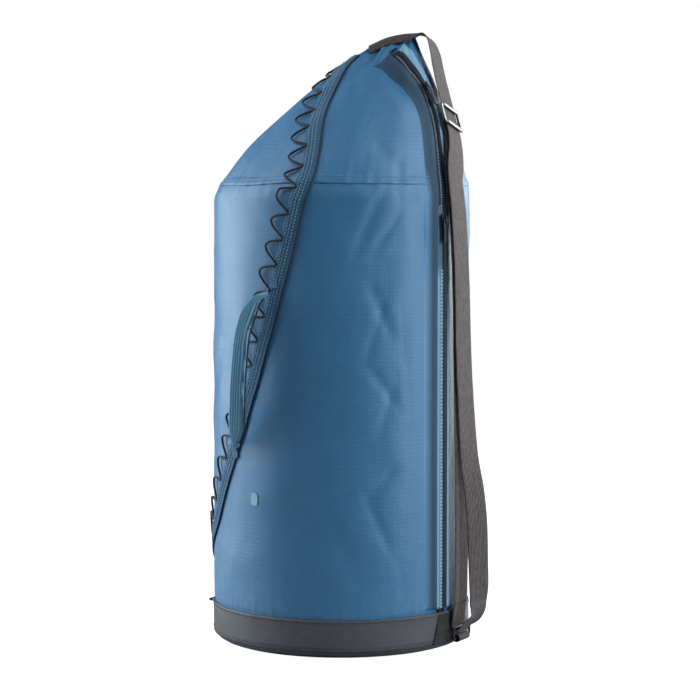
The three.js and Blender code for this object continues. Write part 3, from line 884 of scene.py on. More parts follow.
def make_body(blue):
    edge = SLOT_HALF / DEGREE
    outside = np.linspace(ZIP_AZIMUTH + edge, ZIP_AZIMUTH - edge + 360, 401)
    inside = np.linspace(ZIP_AZIMUTH - edge, ZIP_AZIMUTH + edge, 19) + 360
    azimuths = np.concatenate([outside, inside[1:]])
    alongs = np.concatenate([
        np.linspace(BAND_TOP - 0.003, SLOT_BOTTOM, 6), np.linspace(SLOT_BOTTOM, SLOT_TOP, 175)[1:],
        np.linspace(SLOT_TOP, YOKE_SEAM + 0.003, 18)[1:]])

    def whole(azimuth, along):
        slot = (azimuth > ZIP_AZIMUTH - edge + 360) & (along > SLOT_BOTTOM) & (along < SLOT_TOP)
        return ~slot

    obj = cloth("body_cloth", azimuths, alongs, body_place, blue, keep=whole, closed=True)
    keep_on(obj, "bag", "blue_cloth", "body_shell")


YOKE_FOLDS = [
    # (azimuth, along) at both ends, half width and depth: folds that run up to the ridge
    ((44, 0.712), (-40, 0.806), 0.0050, 4.2), ((36, 0.690), (-60, 0.800), 0.007, -2.0),
    ((18, 0.700), (-30, 0.780), 0.006, 1.4),
    ((46, 0.740), (10, 0.812), 0.004, 2.0), ((-8, 0.71), (-40, 0.80), 0.006, 1.6),
    ((-70, 0.72), (-82, 0.80), 0.006, 1.5), ((-110, 0.70), (-96, 0.80), 0.006, 1.6),
    ((75, 0.71), (60, 0.80), 0.005, 1.6), ((110, 0.70), (96, 0.80), 0.006, 2.2),
    ((140, 0.68), (160, 0.80), 0.006, 2.0), ((175, 0.70), (176, 0.80), 0.007, 1.9),
    ((-140, 0.69), (-160, 0.80), 0.006, 1.8), ((10, 0.66), (30, 0.615), 0.009, 1.0),
]


def yoke_off(azimuth, along):
    wrapped = signed(azimuth)
    off = swell(azimuth, along) * (1 - 0.5 * ramp(along, 0.70, RIDGE_TOP))
    zip_side = by_zip(wrapped)
    off = off + puckers(azimuth, along - YOKE_SEAM, 0.6) * (1 - 0.8 * zip_side)
    off = folded(off, wrapped, along, YOKE_FOLDS, 1 - 0.75 * ramp(along, 0.62, RIDGE_TOP))
    a = np.radians(azimuth)
    gather = np.sin(15 * a + 1.2 * np.sin(3 * a)) + 0.6 * np.sin(23 * a + 2)
    off = off + gather * 0.7 * MM * ramp(along, 0.70, RIDGE_TOP)
    return off + 0.7 * MM * (1 - ramp(along, YOKE_SEAM, YOKE_SEAM + 0.012)) * (1 - 0.6 * zip_side)


def yoke_place(azimuth, along):
    return skin(azimuth, along, yoke_off(azimuth, along))


def cloth_off(azimuth, along):
    """How far the outermost cloth stands off the skin."""
    return np.where(along < YOKE_SEAM - 0.005, body_off(azimuth, along), yoke_off(azimuth, along))


def make_yoke(blue):
    azimuths = np.linspace(-180, 180, 361)
    obj = cloth("yoke_cloth", azimuths, np.linspace(YOKE_SEAM - 0.004, RIDGE_TOP, 110), yoke_place,
                blue, closed=True)
    keep_on(obj, "bag", "blue_cloth", "top_yoke")

    rings, turns = 8, 72
    rim = skin(np.linspace(-180, 180, turns, endpoint=False), np.full(turns, RIDGE_TOP), 0.2 * MM)
    points = []
    for i in range(rings):
        t = i / (rings - 1)
        ring = rim.copy()
        ring[:, 1] *= math.cos(t * math.pi / 2)
        ring[:, 2] += 3.2 * MM * math.sin(t * math.pi / 2)
        points.append(ring)
    points = np.concatenate(points)
    hem = make_object("ridge_hem_cloth", points, tube_faces(rings, turns), points[:, :2], blue)
    apply(hem, "WELD", merge_threshold=0.3 * MM)
    apply(hem, "SOLIDIFY", thickness=1.0 * MM, offset=-1)
    keep_on(hem, "bag", "blue_cloth", "ridge_hem")


def ring_line(along, off, count=720):
    """A level line round the bag, off its skin, and the skin's normals along it."""
    azimuth = np.linspace(-180, 180, count)
    return skin(azimuth, np.full(count, along), off), skin_normal(azimuth, np.full(count, along))


def make_base(grey, dark, grey_thread):
    azimuths = np.linspace(-180, 180, 361)

    def band(azimuth, along):
        off = 1.1 * MM + puckers(azimuth, BAND_TOP - along, 0.22, 0.012, 60)
        wave = np.sin(5 * np.radians(azimuth) + 40 * along)
        off = off + 0.5 * MM * wave * ramp(BAND_TOP - along, 0, 0.02)
        off = off - 0.8 * MM * (1 - ramp(along, PIPING_TOP, PIPING_TOP + 0.004))
        return skin(azimuth, along, off)

    rows = np.linspace(PIPING_TOP - 0.001, BAND_TOP, 22)
    keep_on(cloth("base_band_cloth", azimuths, rows, band, grey, 1.2 * MM, closed=True),
            "bag", "grey_cloth", "base_band")

    line, _ = ring_line(0.5 * (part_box("base_piping")[0].z + PIPING_TOP), -0.4 * MM, 361)
    piping = cord("base_piping_cord", line, 1.2 * MM, dark)
    keep_on(piping, "bag", "grey_cloth", "base_piping")

    profile = np.array([(0.001, 0.0), (0.06, 0.0), (0.12, 0.0), (0.148, 0.0), (0.1535, 0.0005),
                        (0.1575, 0.0019), (0.1612, 0.0042), (0.1638, 0.0068), (0.1648, 0.0088)])
    turns = np.radians(np.linspace(-180, 180, 181))
    points = np.stack([profile[:, None, 0] * np.sin(turns), -profile[:, None, 0] * np.cos(turns),
                       np.broadcast_to(profile[:, None, 1], (len(profile), 181))], -1)
    panel = sheet("base_panel_cloth", points, points[..., :2], grey, 1.5 * MM, weld=True)
    keep_on(panel, "bag", "grey_cloth", "base_panel")

    for name, along, off in (("band_stitch_top", BAND_TOP - 0.0035, 1.4 * MM),
                             ("band_stitch_low", PIPING_TOP + 0.004, 1.1 * MM)):
        line, normal = ring_line(along, off)
        keep_on(stitches(name, line, normal, grey_thread), "bag", "grey_cloth")


def make_seam_stitches(blue_thread):
    for name, rise in (("yoke_stitch_low", 0.0022), ("yoke_stitch_high", 0.0085)):
        azimuth = np.linspace(-180, 180, 720)
        along = np.full(720, YOKE_SEAM + rise)
        line = yoke_place(azimuth, along) + skin_normal(azimuth, along) * 0.3 * MM
        keep_on(stitches(name, line, skin_normal(azimuth, along), blue_thread), "bag", "blue_cloth")


# ==== zip ====
def lip_off(gap):
    """How far a lip stands off the skin, gap metres from the zip: a rolled fold, then flat."""
    roll = 1.1 * np.exp(-((gap - 0.0125) / 0.0055) ** 2)
    return (roll - 0.25 + 1.5 * (1 - ramp(gap, 0.008, 0.034))) * MM


def make_lip(side, name, *looks):
    """One edge of the lower zip, made in two halves that meet at LIP_MIDDLE."""
    for end in (LIP_BOTTOM, LIP_TOP):
        make_lip_half(side, name, end, *looks)


def make_lip_half(side, name, end, cloth_material, tape_material, coil_material, thread_material):
    half = f"{name}_{'low' if end < LIP_MIDDLE else 'high'}"

    def azimuth_at(gap):
        return ZIP_LINE + side * gap / DEGREE

    def join(obj, slot, *nodes):
        """Opens the piece's cut end where the lip's halves meet, shades its other end flat, hides the
        named CAD nodes and bakes its transform.
        """
        open_end(obj, LIP_MIDDLE)
        flatten_end(obj, end)
        at = skin(ZIP_LINE, end)
        reach = math.copysign(LIP_REACH, LIP_MIDDLE - end)
        bend_on(obj, "bag", f"lip_{name}", at, (at[0], at[1], at[2] + reach), slot, *nodes)

    def facing(azimuth, along):
        gap = np.abs(azimuth - ZIP_LINE) * DEGREE
        inward = 1.4 * MM * (1 - ramp(gap, FLAP, FLAP + 0.002))
        return skin(azimuth, along, lip_off(gap) - inward - zip_dip(azimuth, along))

    rows = np.sort(np.linspace(end, LIP_MIDDLE, 80))
    azimuths = np.sort(azimuth_at(np.linspace(FLAP, LIP_WIDTH, 34)))
    obj = cloth(f"zip_facing_cloth_{half}", azimuths, rows, facing, cloth_material, 0.4 * MM)
    join(obj, "blue_cloth" if side < 0 else "pale_cloth", f"zip_facing_{name}")

    def tape_place(azimuth, along):
        gap = np.abs(azimuth - ZIP_LINE) * DEGREE
        return skin(azimuth, along, (TAPE_LIFT - 0.6 * ramp(gap, 0.004, 0.008)) * MM)

    azimuths = np.sort(azimuth_at(np.linspace(1.0 * MM, 11 * MM, 14)))
    join(cloth(f"zip_tape_cloth_{half}", azimuths, rows, tape_place, tape_material, 0.7 * MM),
         "zip_cloth", f"zip_tape_{name}")

    heights = np.arange(rows[0], rows[-1] - TOOTH_PITCH / 2, TOOTH_PITCH)
    azimuth = np.full(len(heights), azimuth_at(1.1 * MM))
    centres = skin(azimuth, heights, TAPE_LIFT * MM)
    up = np.tile([0.0, 0, 1], (len(heights), 1))
    teeth = copies(f"zip_teeth_{half}", centres, up, skin_normal(azimuth, heights), tooth_shape(),
                   coil_material)
    join(teeth, "zip_coil", f"zip_coil_{name}")

    if side < 0:
        heights = np.linspace(rows[0] + 0.002, min(rows[-1], STITCH_TOP), 200)
        for i, (gap, lean) in enumerate(((2.7, 0.6), (4.9, -0.6))):
            azimuth = np.full(200, azimuth_at(gap * MM))
            line, normal = skin(azimuth, heights, 2.2 * MM), skin_normal(azimuth, heights)
            row = stitches(f"zip_stitch_{half}_{i}", line, normal, thread_material,
                           4.2 * MM, 0.85 * MM, lean)
            join(row, "pale_cloth")


def end_faces(faces, height, centre):
    """The faces of a strip's cut end at a height."""
    return [face for face in faces if abs(face.normal.z) > 0.9 and abs(centre(face).z - height) < 3 * MM]


def open_end(obj, height):
    """Take away a strip's cut end where the next strip carries on, so that no line shows between them."""
    mesh = bmesh.new()
    mesh.from_mesh(obj.data)
    cut = end_faces(mesh.faces, height, lambda face: face.calc_center_median())
    bmesh.ops.delete(mesh, geom=cut, context="FACES_ONLY")
    mesh.to_mesh(obj.data)
    mesh.free()


def flatten_end(obj, height):
    """Shade a strip's cut end flat, so that it doesn't darken the cloth beside it."""
    for face in end_faces(obj.data.polygons, height, lambda face: face.center):
        face.use_smooth = False


def tooth_shape():
    """One turn of the zip's coil, as a rounded bar across the tape."""
    points, faces = stitch_shape(2.6 * MM, 0.62 * MM)
    turned_points = points[:, [1, 0, 2]] * [1, -1, 1]
    return turned_points, faces


def upper_drift(t):
    """The upper teeth start on the lower zip's line and drift to the middle of their route."""
    return (ZIP_LINE - ZIP_AZIMUTH) * DEGREE * (1 - ramp(t, 0, 0.25))


def make_upper_zip(tape_material, coil_material, front_cloth, painted_lit_rear_cloth, thread_material):
    """The zip's upper run: the same folds and teeth, following the taper to the ridge."""
    route = Route(ZIP_TAPER)
    rows = 150

    def strip(name, near, far, off, look, slot, *nodes, thickness=0.5 * MM):
        """near and far are the strip's sides, each a function of the place along the route."""
        t, u = np.meshgrid(np.linspace(0, 0.985, rows), np.linspace(0, 1, 26), indexing="ij")
        aside = near(t) + (far(t) - near(t)) * u
        points = route.beside(t, aside + upper_drift(t), off(np.abs(aside), t))
        flat = np.stack([ZIP_LINE * DEGREE + aside * LIP_WIDTH / reach(t), t * route.length], -1)
        obj = sheet(name, points, flat, look, thickness)
        open_end(obj, ZIP_TAPER[0][1])
        keep_on(obj, "bag", slot, *nodes)

    def wide(t):
        return LIP_WIDTH + 0.002 * ramp(t, 0.6, 1)

    def reach(t):
        """The width that the painted shade beside the zip is spread over. It grows towards the ridge."""
        return LIP_WIDTH + 0.016 * ramp(t, 0.05, 0.3) + 0.004 * ramp(t, 0.45, 1)

    def half_tape(t):
        return 0.010 - 0.004 * ramp(t, 0.80, 1)

    def facing_off(gap, t):
        return (lip_off(gap * LIP_WIDTH / wide(t)) + 0.06 * MM * (1 - ramp(t, 0.02, 0.08))
                - 1.4 * MM * (1 - ramp(gap, FLAP, FLAP + 0.002)))

    def tape_off(gap, _):
        return (TAPE_LIFT - 0.5 * ramp(gap, 0.004, 0.008)) * MM

    strip("zip_upper_tape_cloth", lambda t: -half_tape(t), half_tape, tape_off, tape_material,
          "zip_cloth", "zip_upper_tape", thickness=0.7 * MM)
    strip("zip_upper_facing_front", lambda t: -wide(t), lambda _: -FLAP, facing_off,
          front_cloth, "blue_cloth")
    strip("zip_upper_facing_rear", lambda _: FLAP, lambda t: np.minimum(wide(t), 0.020), facing_off,
          painted_lit_rear_cloth, "pale_cloth")

    make_upper_teeth(route, coil_material)
    make_upper_stitches(route, thread_material)


def make_upper_teeth(route, material):
    t = np.linspace(0, 0.965, int(route.length * 0.96 / TOOTH_PITCH))
    azimuth, along, _, _ = route.at(t)
    for side in (-1, 1):
        line = route.beside(t, upper_drift(t) + side * 1.25 * MM, STITCH_LIFT)
        tangent = unit(np.gradient(line, axis=0))
        teeth = copies(f"zip_upper_teeth_{'front' if side < 0 else 'rear'}", line, tangent,
                       skin_normal(azimuth, along), tooth_shape(), material)
        keep_on(teeth, "bag", "zip_coil", *(["zip_upper_coil"] if side < 0 else []))


def make_upper_stitches(route, material):
    t = np.linspace(0.03, 0.95, 400)
    azimuth, along, _, _ = route.at(t)
    for i, gap in enumerate((3.6, 5.0)):
        line = route.beside(t, -gap * MM + upper_drift(t), STITCH_LIFT)
        row = stitches(f"zip_upper_stitch_{i}", line, skin_normal(azimuth, along), material,
                       3.2 * MM, 0.34 * MM, 0.4)
        keep_on(row, "bag", "zip_cloth")


# ==== lash line ====
def make_lash_web(route, loops, material):
    """The webbing, arched across and raised a little where each loop is sewn under it."""
    t = np.linspace(0, 1, LASH_ROWS)
    columns = np.linspace(-WEBBING_WIDTH / 2, WEBBING_WIDTH / 2, 15)
    tt, uu = np.meshgrid(t, columns, indexing="ij")
    lift = 0.9 * MM * (1 - np.abs(uu) / (WEBBING_WIDTH / 2)) ** 0.5 * 0.4
    bumps = np.cos(2 * np.pi * (tt * route.length - 0.010) / ((route.length - 0.020) / loops))
    lift = lift + 0.8 * MM * (0.5 + 0.5 * bumps) * ramp(-uu, -0.002, WEBBING_WIDTH / 2)
    points = route.beside(tt, uu, 1.5 * MM + lift)
    flat = np.stack([uu, tt * route.length], -1)
    web = sheet("lash_webbing_band", points, flat, material, 1.2 * MM)
    keep_on(web, "bag", "blue_webbing", "lash_webbing")


def make_lash_cord(route, loops, material):
    """One elastic cord that swings out to the left of the webbing in a row of loops."""
    per_loop = 26
    turn = np.arange(loops * per_loop + 1) / per_loop
    bulge = (0.5 - 0.5 * np.cos(2 * np.pi * turn)) ** 0.85
    swing = np.sin(2 * np.pi * turn) * 1.5 * MM - bulge * 3.0 * MM
    aside = -(WEBBING_WIDTH / 2 - 3.0 * MM + (LOOP_REACH + 5.0 * MM) * bulge)
    margin = 0.010 / route.length
    at = margin + (1 - 2 * margin) * turn / loops - swing / route.length
    line = route.beside(at, aside, CORD_RADIUS + 0.6 * MM + 1.6 * MM * bulge)
    lash = cord("lash_cord_elastic", line, CORD_RADIUS, material)
    keep_on(lash, "bag", "elastic_cord", "lash_cord")


def make_lash_line(blue_web, cord_material, blue_thread, edge_material):
    route = Route(LASH_LINE)
    loops = int(round((route.length - 0.020) / LOOP_PITCH))
    make_lash_web(route, loops, blue_web)
    t = np.linspace(0, 1, LASH_ROWS)
    azimuth, along, _, _ = route.at(t)
    for name, aside, lean in (("left", -5.6, 0.5), ("middle", -1.6, -0.5), ("right", 2.8, 0.5)):
        line = route.beside(t, aside * MM, STITCH_LIFT)
        row = stitches(f"lash_stitch_{name}", line, skin_normal(azimuth, along), blue_thread,
                       4.2 * MM, 0.55 * MM, lean)
        keep_on(row, "bag", "blue_webbing")
    edge = cord("lash_edge_piping", route.beside(t, 9.6 * MM, PIPING_LIFT), 1.0 * MM, edge_material)
    keep_on(edge, "bag", "blue_webbing")
    make_lash_cord(route, loops, cord_material)


# ==== grab handle ====
def handle_line(count):
    points = [(*skin(a, h, off), a) for a, h, off in HANDLE]
    return band_frames(points, count)


def inflate(obj, voxel, pressure, cap):
    """Remesh a closed shape and puff it out as cloth, each point moving no further than cap."""
    apply(obj, "REMESH", mode="VOXEL", voxel_size=voxel)
    before = np.array([v.co for v in obj.data.vertices])
    modifier = obj.modifiers.new("Cloth", "CLOTH")
    settings = modifier.settings
    settings.quality = 6
    settings.mass = 0.2
    settings.use_pressure = True
    settings.uniform_pressure_force = pressure
    settings.effector_weights.gravity = 0
    scene = bpy.context.scene
    for step in range(1, 21):
        scene.frame_set(step)
    shaped = obj.evaluated_get(bpy.context.evaluated_depsgraph_get()).to_mesh()
    after = np.array([v.co for v in shaped.vertices])
    obj.modifiers.remove(modifier)
    scene.frame_set(1)
    move = after - before
    size = np.linalg.norm(move, axis=1, keepdims=True)
    after = before + move * np.minimum(1, cap / np.maximum(size, 1e-9))
    obj.data.vertices.foreach_set("co", after.ravel())
    apply(obj, "SUBSURF", levels=2)


def carve_ribs(grip, centres, across, size):
    """Raise ribs along the filled grip, and lay its weave along its middle line."""
    points = np.array([v.co for v in grip.data.vertices])
    normals = np.array([v.normal for v in grip.data.vertices])
    near = np.argmin(((points[:, None] - centres[None, ::2]) ** 2).sum(-1), axis=1) * 2
    u = ((points - centres[near]) * across[near]).sum(-1)
    run = run_along(centres)
    ribs = np.cos(2 * np.pi * u / np.maximum(size[near], 0.3) / RIB_PITCH) * ramp(size[near], 0.3, 0.6)
    grip.data.vertices.foreach_set("co", (points + normals * ribs[:, None] * RIB_RISE).ravel())
    layer = grip.data.uv_layers.get("Flat") or grip.data.uv_layers.new(name="Flat")
    loops = np.zeros(len(grip.data.loops), int)
    grip.data.loops.foreach_get("vertex_index", loops)
    flat = np.stack([u / np.maximum(size[near], 0.3), run[near]], -1)
    layer.data.foreach_set("uv", flat[loops].ravel())
    grip.data.polygons.foreach_set("use_smooth", [True] * len(grip.data.polygons))


def make_handle(ribbed, plain, edge_material):
    rows = 150
    centres, across, face = handle_line(rows)
    t = np.linspace(0, 1, rows)
    size = 0.3 + 0.7 * np.minimum(1, np.sin(np.pi * t) * 1.9)
    x = np.concatenate([np.linspace(-1, 1, 21), np.linspace(1, -1, 21)[1:-1]])
    rise = np.concatenate([-np.ones(21), np.ones(19)]) * np.clip(1 - np.abs(x) ** 3, 0, 1) ** 0.5
    section = np.stack([x * GRIP_HALF[0], rise * GRIP_HALF[1]], -1)
    scale = np.stack([size, 0.4 + 0.6 * size], -1)
    grip = sweep("grab_handle_pad", centres, across, face, section, ribbed, scale)
    inflate(grip, 2.4 * MM, 4.0, 1.6 * MM)

    carve_ribs(grip, centres, across, size)
    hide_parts("grab_handle")
    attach(grip, "handle")

    side = centres + across * (size[:, None] * 0.0138) + face * 0.3 * MM
    edge = cord("grab_handle_piping", side[6:-6], 1.1 * MM, edge_material)
    keep_on(edge, "handle", "blue_webbing")
    make_handle_tabs(plain)


def make_handle_tabs(plain):
    """The flat sewn ends that hold the handle."""
    for name, (azimuth, along, _), rise in (("top", HANDLE[0], 0.012), ("bottom", HANDLE[-1], -0.012)):
        a = azimuth + 0.12 * rise / MM
        us = np.linspace(-TAB_WIDE / 2, TAB_WIDE / 2, 12)
        vs = np.linspace(-TAB_TALL / 2, TAB_TALL / 2, 16)
        u, v = np.meshgrid(us, vs)
        toward = -1 if name == "top" else 1
        off = 2.6 * MM + 2.2 * MM * ramp(v * toward, 0.0, TAB_TALL / 2)
        points = skin(a + u / DEGREE, along + rise + v, off)
        tab = sheet(f"handle_tab_cloth_{name}", points, np.stack([u, v], -1), plain, 1.4 * MM)
        keep_on(tab, "bag", "blue_webbing", f"handle_tab_{name}")


# ==== shoulder strap ====
def strap_piece(name, points, count, material, width=STRAP_WIDTH, droop=0.0, caps=(True, True)):
    """A run of the strap. droop is how far its sides hang where it lies over the ridge."""
    centres, across, face = band_frames(points, count)
    section = band_section(width, STRAP_THICKNESS, 20, 0.8)
    obj = sweep(name, centres, across, face, section, material, caps=caps)
    if droop:
        for vertex in obj.data.vertices:
            side = min(1.0, abs(vertex.co.y) / (width / 2))
            vertex.co.z -= droop * side**3 * float(1 - ramp(vertex.co.x, 0.085, 0.104))
    return obj


def make_strap(web):
    outer = smooth_path(STRAP_OUTER, 1200)

    def between(first, last):
        """The outer layer's smooth line between two of its points."""
        a = np.argmin(np.linalg.norm(outer[:, :3] - np.array(STRAP_OUTER[first][:3]), axis=1))
        b = np.argmin(np.linalg.norm(outer[:, :3] - np.array(STRAP_OUTER[last][:3]), axis=1))
        return outer[a:b + 1]

    top = strap_piece("strap_outer_top", between(0, STRAP_MIDDLE), 260, web, droop=11 * MM,
                      caps=(True, False))
    bend_on(top, "bag", "strap", (0.110, 0, 0.780), (0.128, -0.02, 0.715),
            "strap_webbing", "strap_ridge", "strap_arch", "strap_carry")

    low = strap_piece("strap_outer_low", between(STRAP_MIDDLE, len(STRAP_OUTER) - 1), 260, web,
                      caps=(False, True))
    bend_on(low, "strap", "bag", (0.17, -0.08, 0.130), (0.17, -0.08, 0.040), "strap_webbing", "strap_foot")

    inner = smooth_path(STRAP_INNER, 600)
    split = np.argmin(np.abs(inner[:, 2] - 0.601))
    middle = np.argmin(np.abs(inner[:, 2] - 0.325))
    width = STRAP_WIDTH - 1 * MM
    head = strap_piece("strap_inner_head", inner[:split + 1], 50, web, width, caps=(True, False))
    bend_on(head, "strap", "buckle", inner[split, :3], inner[30, :3], "strap_webbing", "buckle_keeper")
    centre = strap_piece("strap_inner_middle", inner[split:middle + 1], 120, web, width,
                         caps=(False, False))
    keep_on(centre, "strap", "strap_webbing", "strap_return")
    foot = strap_piece("strap_inner_foot", inner[middle:], 120, web, width, caps=(False, True))
    bend_on(foot, "strap", "bag", (0.153, -0.083, 0.130), (0.152, -0.083, 0.060), "strap_webbing")


def rounded_frame(width, height, corner=4 * MM, count=120):
    """The middle line of a rounded rectangle in the xy plane."""
    x, y = width / 2 - corner, height / 2 - corner
    line = []
    for cx, cy, start in ((x, -y, -90), (x, y, 0), (-x, y, 90), (-x, -y, 180)):
        for step in range(9):
            a = math.radians(start + step * 90 / 8)
            line.append((cx + corner * math.cos(a), cy + corner * math.sin(a), 0))
    line.append(line[0])
    return evenly(np.array(line), count)


def loop_of_wire(name, line, section, material):
    """A closed ring of a section along a closed line in its own plane."""
    ring = line[:-1]
    tangent = unit(np.roll(ring, -1, axis=0) - np.roll(ring, 1, axis=0))
    face = np.tile([0.0, 0, 1], (len(ring), 1))
    across = np.cross(tangent, face)
    section = np.asarray(section)
    points = (ring[:, None] + across[:, None] * section[None, :, :1]
              + face[:, None] * section[None, :, 1:])
    count, sides = len(ring), len(section)
    index = np.arange(count * sides).reshape(count, sides)
    right, down = np.roll(index, -1, axis=1), np.roll(index, -1, axis=0)
    both = np.roll(right, -1, axis=0)
    faces = np.stack([index, right, both, down], -1).reshape(-1, 4)
    return make_object(name, points.reshape(-1, 3), faces, points.reshape(-1, 3)[:, :2], material)


def place_frame(obj, origin, across, up, out):
    matrix = np.eye(4)
    matrix[:3, 0], matrix[:3, 1], matrix[:3, 2], matrix[:3, 3] = across, up, out, origin
    obj.data.transform(Matrix(matrix.tolist()))


def squarish(width, height, sides=16, power=0.5):
    turn = np.linspace(0, 2 * np.pi, sides, endpoint=False)
    x = np.sign(np.cos(turn)) * np.abs(np.cos(turn)) ** power * width / 2
    y = np.sign(np.sin(turn)) * np.abs(np.sin(turn)) ** power * height / 2
    return np.stack([x, y], -1)


def make_buckle(shiny):
    points = smooth_path(STRAP_OUTER, 1200)
    near = np.argmin(np.linalg.norm(points[:, :3] - np.array(STRAP_OUTER[BUCKLE][:3]), axis=1))
    tangent = unit(points[near + 4, :3] - points[near - 4, :3])
    look = math.radians(points[near, 3])
    across = np.array([math.cos(look), math.sin(look), 0])
    across = unit(across - tangent * across.dot(tangent))
    out = np.cross(tangent, across)
    origin = points[near, :3]
    line = rounded_frame(*BUCKLE_SIZE)
    line[:, 2] = 3.0 * MM - 1.6 * MM * ramp(np.abs(line[:, 0]), 0.018, 0.022)
    frame_ = loop_of_wire("buckle_rim", line, squarish(*BUCKLE_WIRE), shiny)
    place_frame(frame_, origin, across, -tangent, out)
    keep_on(frame_, "buckle", "buckle_metal", "buckle_frame")
    bar_line = np.stack([np.linspace(-22.5, 22.5, 30) * MM, np.zeros(30), np.full(30, -3.2 * MM)], -1)
    bar_line[:, 2] += 3.6 * MM * ramp(np.abs(bar_line[:, 0]), 0.0195, 0.0225)
    bar = cord("buckle_bar", bar_line, 1.6 * MM, shiny, 12)
    place_frame(bar, origin, across, -tangent, out)
    keep_on(bar, "buckle", "buckle_metal")


def make_anchor(black_web, dark_metal):
    def patch(azimuth, along):
        off = 1.9 * MM + 0.5 * MM * np.sin(along * 300)
        return skin(azimuth, along, off)

    def shape(azimuth, along):
        lean = (along - 0.008) / 0.038
        return (azimuth > 44 + 3.5 * lean) & (azimuth < 79 - 8 * lean)

    obj = cloth("strap_anchor_cloth", np.linspace(44, 79, 60), np.linspace(0.009, 0.046, 30), patch,
                black_web, 1.0 * MM, keep=shape)
    keep_on(obj, "bag", "black_webbing", "strap_anchor_patch")

    low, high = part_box("anchor_ring")
    a = math.radians(ANCHOR_AZIMUTH)
    out = np.array([math.sin(a), -math.cos(a), 0])
    across = np.array([math.cos(a), math.sin(a), 0])
    line = rounded_frame(*RING_SIZE, 3 * MM)
    ring = loop_of_wire("anchor_ring_wire", line, round_section(RING_WIRE, 12), dark_metal)
    origin = out * RING_DISTANCE + [0, 0, (low.z + high.z) / 2]
    place_frame(ring, origin, across, np.array([0.0, 0, 1]), out)
    keep_on(ring, "bag", "dark_metal", "anchor_ring")

    turn = np.radians(np.linspace(-170, 170, 40))
    wrap = np.stack([np.sin(turn), np.cos(turn)], -1) * KEEPER_RADIUS
    keeper_low, keeper_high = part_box("ring_keeper")
    centre = out * RING_DISTANCE + [0, 0, (keeper_low.z + keeper_high.z) / 2]
    us = np.linspace(-KEEPER_HALF, KEEPER_HALF, 24)
    points = np.array([[centre + across * u + out * y + np.array([0, 0, x]) for u in us] for x, y in wrap])
    flat = np.array([[(u, i * 1.1 * MM) for u in us] for i in range(len(wrap))])
    keeper = sheet("ring_keeper_cloth", points, flat, black_web, 1.2 * MM, offset=1)
    keep_on(keeper, "bag", "black_webbing", "ring_keeper")


# ==== zip sliders and small trim ====
def bevelled(node, material, width=0.35 * MM):
    """A smooth-edged copy of a small hard CAD piece, in its place."""
    source = frame["nodes"][node]
    obj = bpy.data.objects.new(node + "_finished", source.data.copy())
    bpy.context.scene.collection.objects.link(obj)
    obj.data.materials.clear()
    obj.data.materials.append(material)
    apply(obj, "WELD", merge_threshold=2e-6)
    apply(obj, "BEVEL", width=width, segments=3, limit_method="ANGLE", angle_limit=math.radians(25))
    obj.data.polygons.foreach_set("use_smooth", [True] * len(obj.data.polygons))
    keep_on(obj, source["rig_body"], slot_of(node), node)


def slot_of(node):
    return next(s["material_slot"] for s in frame["record"]["subparts"] if s["node"] == node)


def make_trim(black_web, label, foam, dark_metal):
    for node in ("upper_slider", "upper_pull", "lower_slider", "lower_pull", "lower_slider_back",
                 "zip_top_stop", "zip_bottom_stop"):
        bevelled(node, dark_metal)
    bevelled("base_foam", foam, 1.5 * MM)
    bevelled("base_lash_loop", black_web, 0.1 * MM)

    def patch(azimuth, along):
        return skin(azimuth, along, 1.5 * MM)

    def rounded(azimuth, along):
        x = np.abs(azimuth - LABEL_PLACE[0]) * DEGREE / LABEL_HALF[0]
        y = np.abs(along - LABEL_PLACE[1]) / LABEL_HALF[1]
        return x**4 + y**4 < 1

    obj = cloth("blank_label_patch", np.linspace(-42, -38, 30), np.linspace(0.185, 0.203, 36), patch,
                label, 0.7 * MM, keep=rounded)
    keep_on(obj, "bag", "label_cloth", "blank_label")


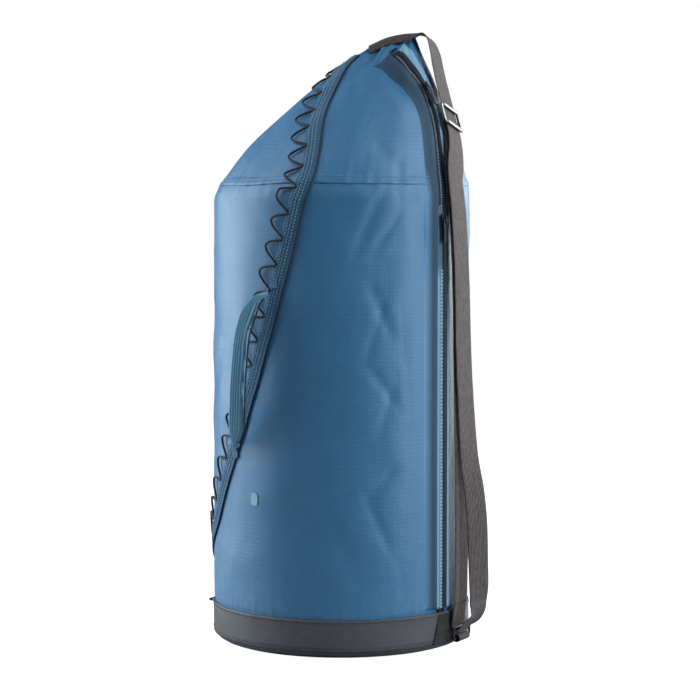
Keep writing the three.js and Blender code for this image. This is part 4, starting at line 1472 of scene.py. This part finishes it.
def main():
    make_studio()
    blue = coated_cloth("blue_ripstop", BLUE)
    # The front lip carries painted shade in the fold beside the zip.
    front_lip = coated_cloth("blue_ripstop_front_lip", BLUE, shade=painted_placket_shade)
    # Painted light: the rear lip is a lighter copy of the blue ripstop, painted as lit cloth.
    painted_lit_rear_lip = coated_cloth("blue_ripstop_rear_lip", (0.24, 0.50, 0.72))
    grey = coated_cloth("grey_coated", GREY, 2.4 * MM, 0.48)
    dark = webbing("grey_piping", srgb(62, 62, 70))
    blue_web = webbing("blue_webbing", (0.050, 0.165, 0.310), 1.9 * MM)
    ribbed = webbing("blue_ribbed", (0.22, 0.54, 0.80), RIB_PITCH, False, contrast=0.34)
    strap_web = webbing("strap_webbing", WEB, 2.6 * MM, depth=0.5 * MM, contrast=0.55, flecks=0.9)
    black_web = webbing("black_webbing", srgb(46, 44, 48), 1.8 * MM)
    dark_tape = webbing("navy_tape", NAVY, 1.1 * MM)
    # The front tape's navy top is painted shadow.
    pale_tape = tape_with_painted_shadow("pale_tape", (0.24, 0.46, 0.66), NAVY, TAPE_SHADOW_START)
    coil = plastic("navy_coil", srgb(16, 22, 36))
    elastic = braid("elastic_braid", srgb(30, 28, 42), srgb(84, 60, 66))
    shiny = metal("buckle_metal", srgb(122, 118, 116), 0.30)
    gunmetal = metal("gunmetal", srgb(70, 72, 80), 0.36)
    label = webbing("label_cloth", (0.42, 0.78, 1.0), 0.8 * MM)
    foam = plastic("closed_foam", srgb(140, 140, 146), 0.9)
    blue_thread = thread("blue_thread", (0.30, 0.55, 0.74))
    web_thread = thread("web_thread", (0.30, 0.52, 0.70))
    grey_thread = thread("grey_thread", srgb(60, 60, 68))
    pale_thread = thread("pale_thread", srgb(190, 222, 238))

    make_body(blue)
    make_yoke(blue)
    make_base(grey, dark, grey_thread)
    make_seam_stitches(blue_thread)
    make_lip(-1, "front", front_lip, pale_tape, coil, pale_thread)
    make_lip(1, "rear", painted_lit_rear_lip, dark_tape, coil, pale_thread)
    make_upper_zip(dark_tape, coil, front_lip, painted_lit_rear_lip, pale_thread)
    make_lash_line(blue_web, elastic, web_thread, dark_tape)
    make_handle(ribbed, blue_web, dark_tape)
    make_strap(strap_web)
    make_buckle(shiny)
    make_anchor(black_web, gunmetal)
    make_trim(black_web, label, foam, gunmetal)


main()
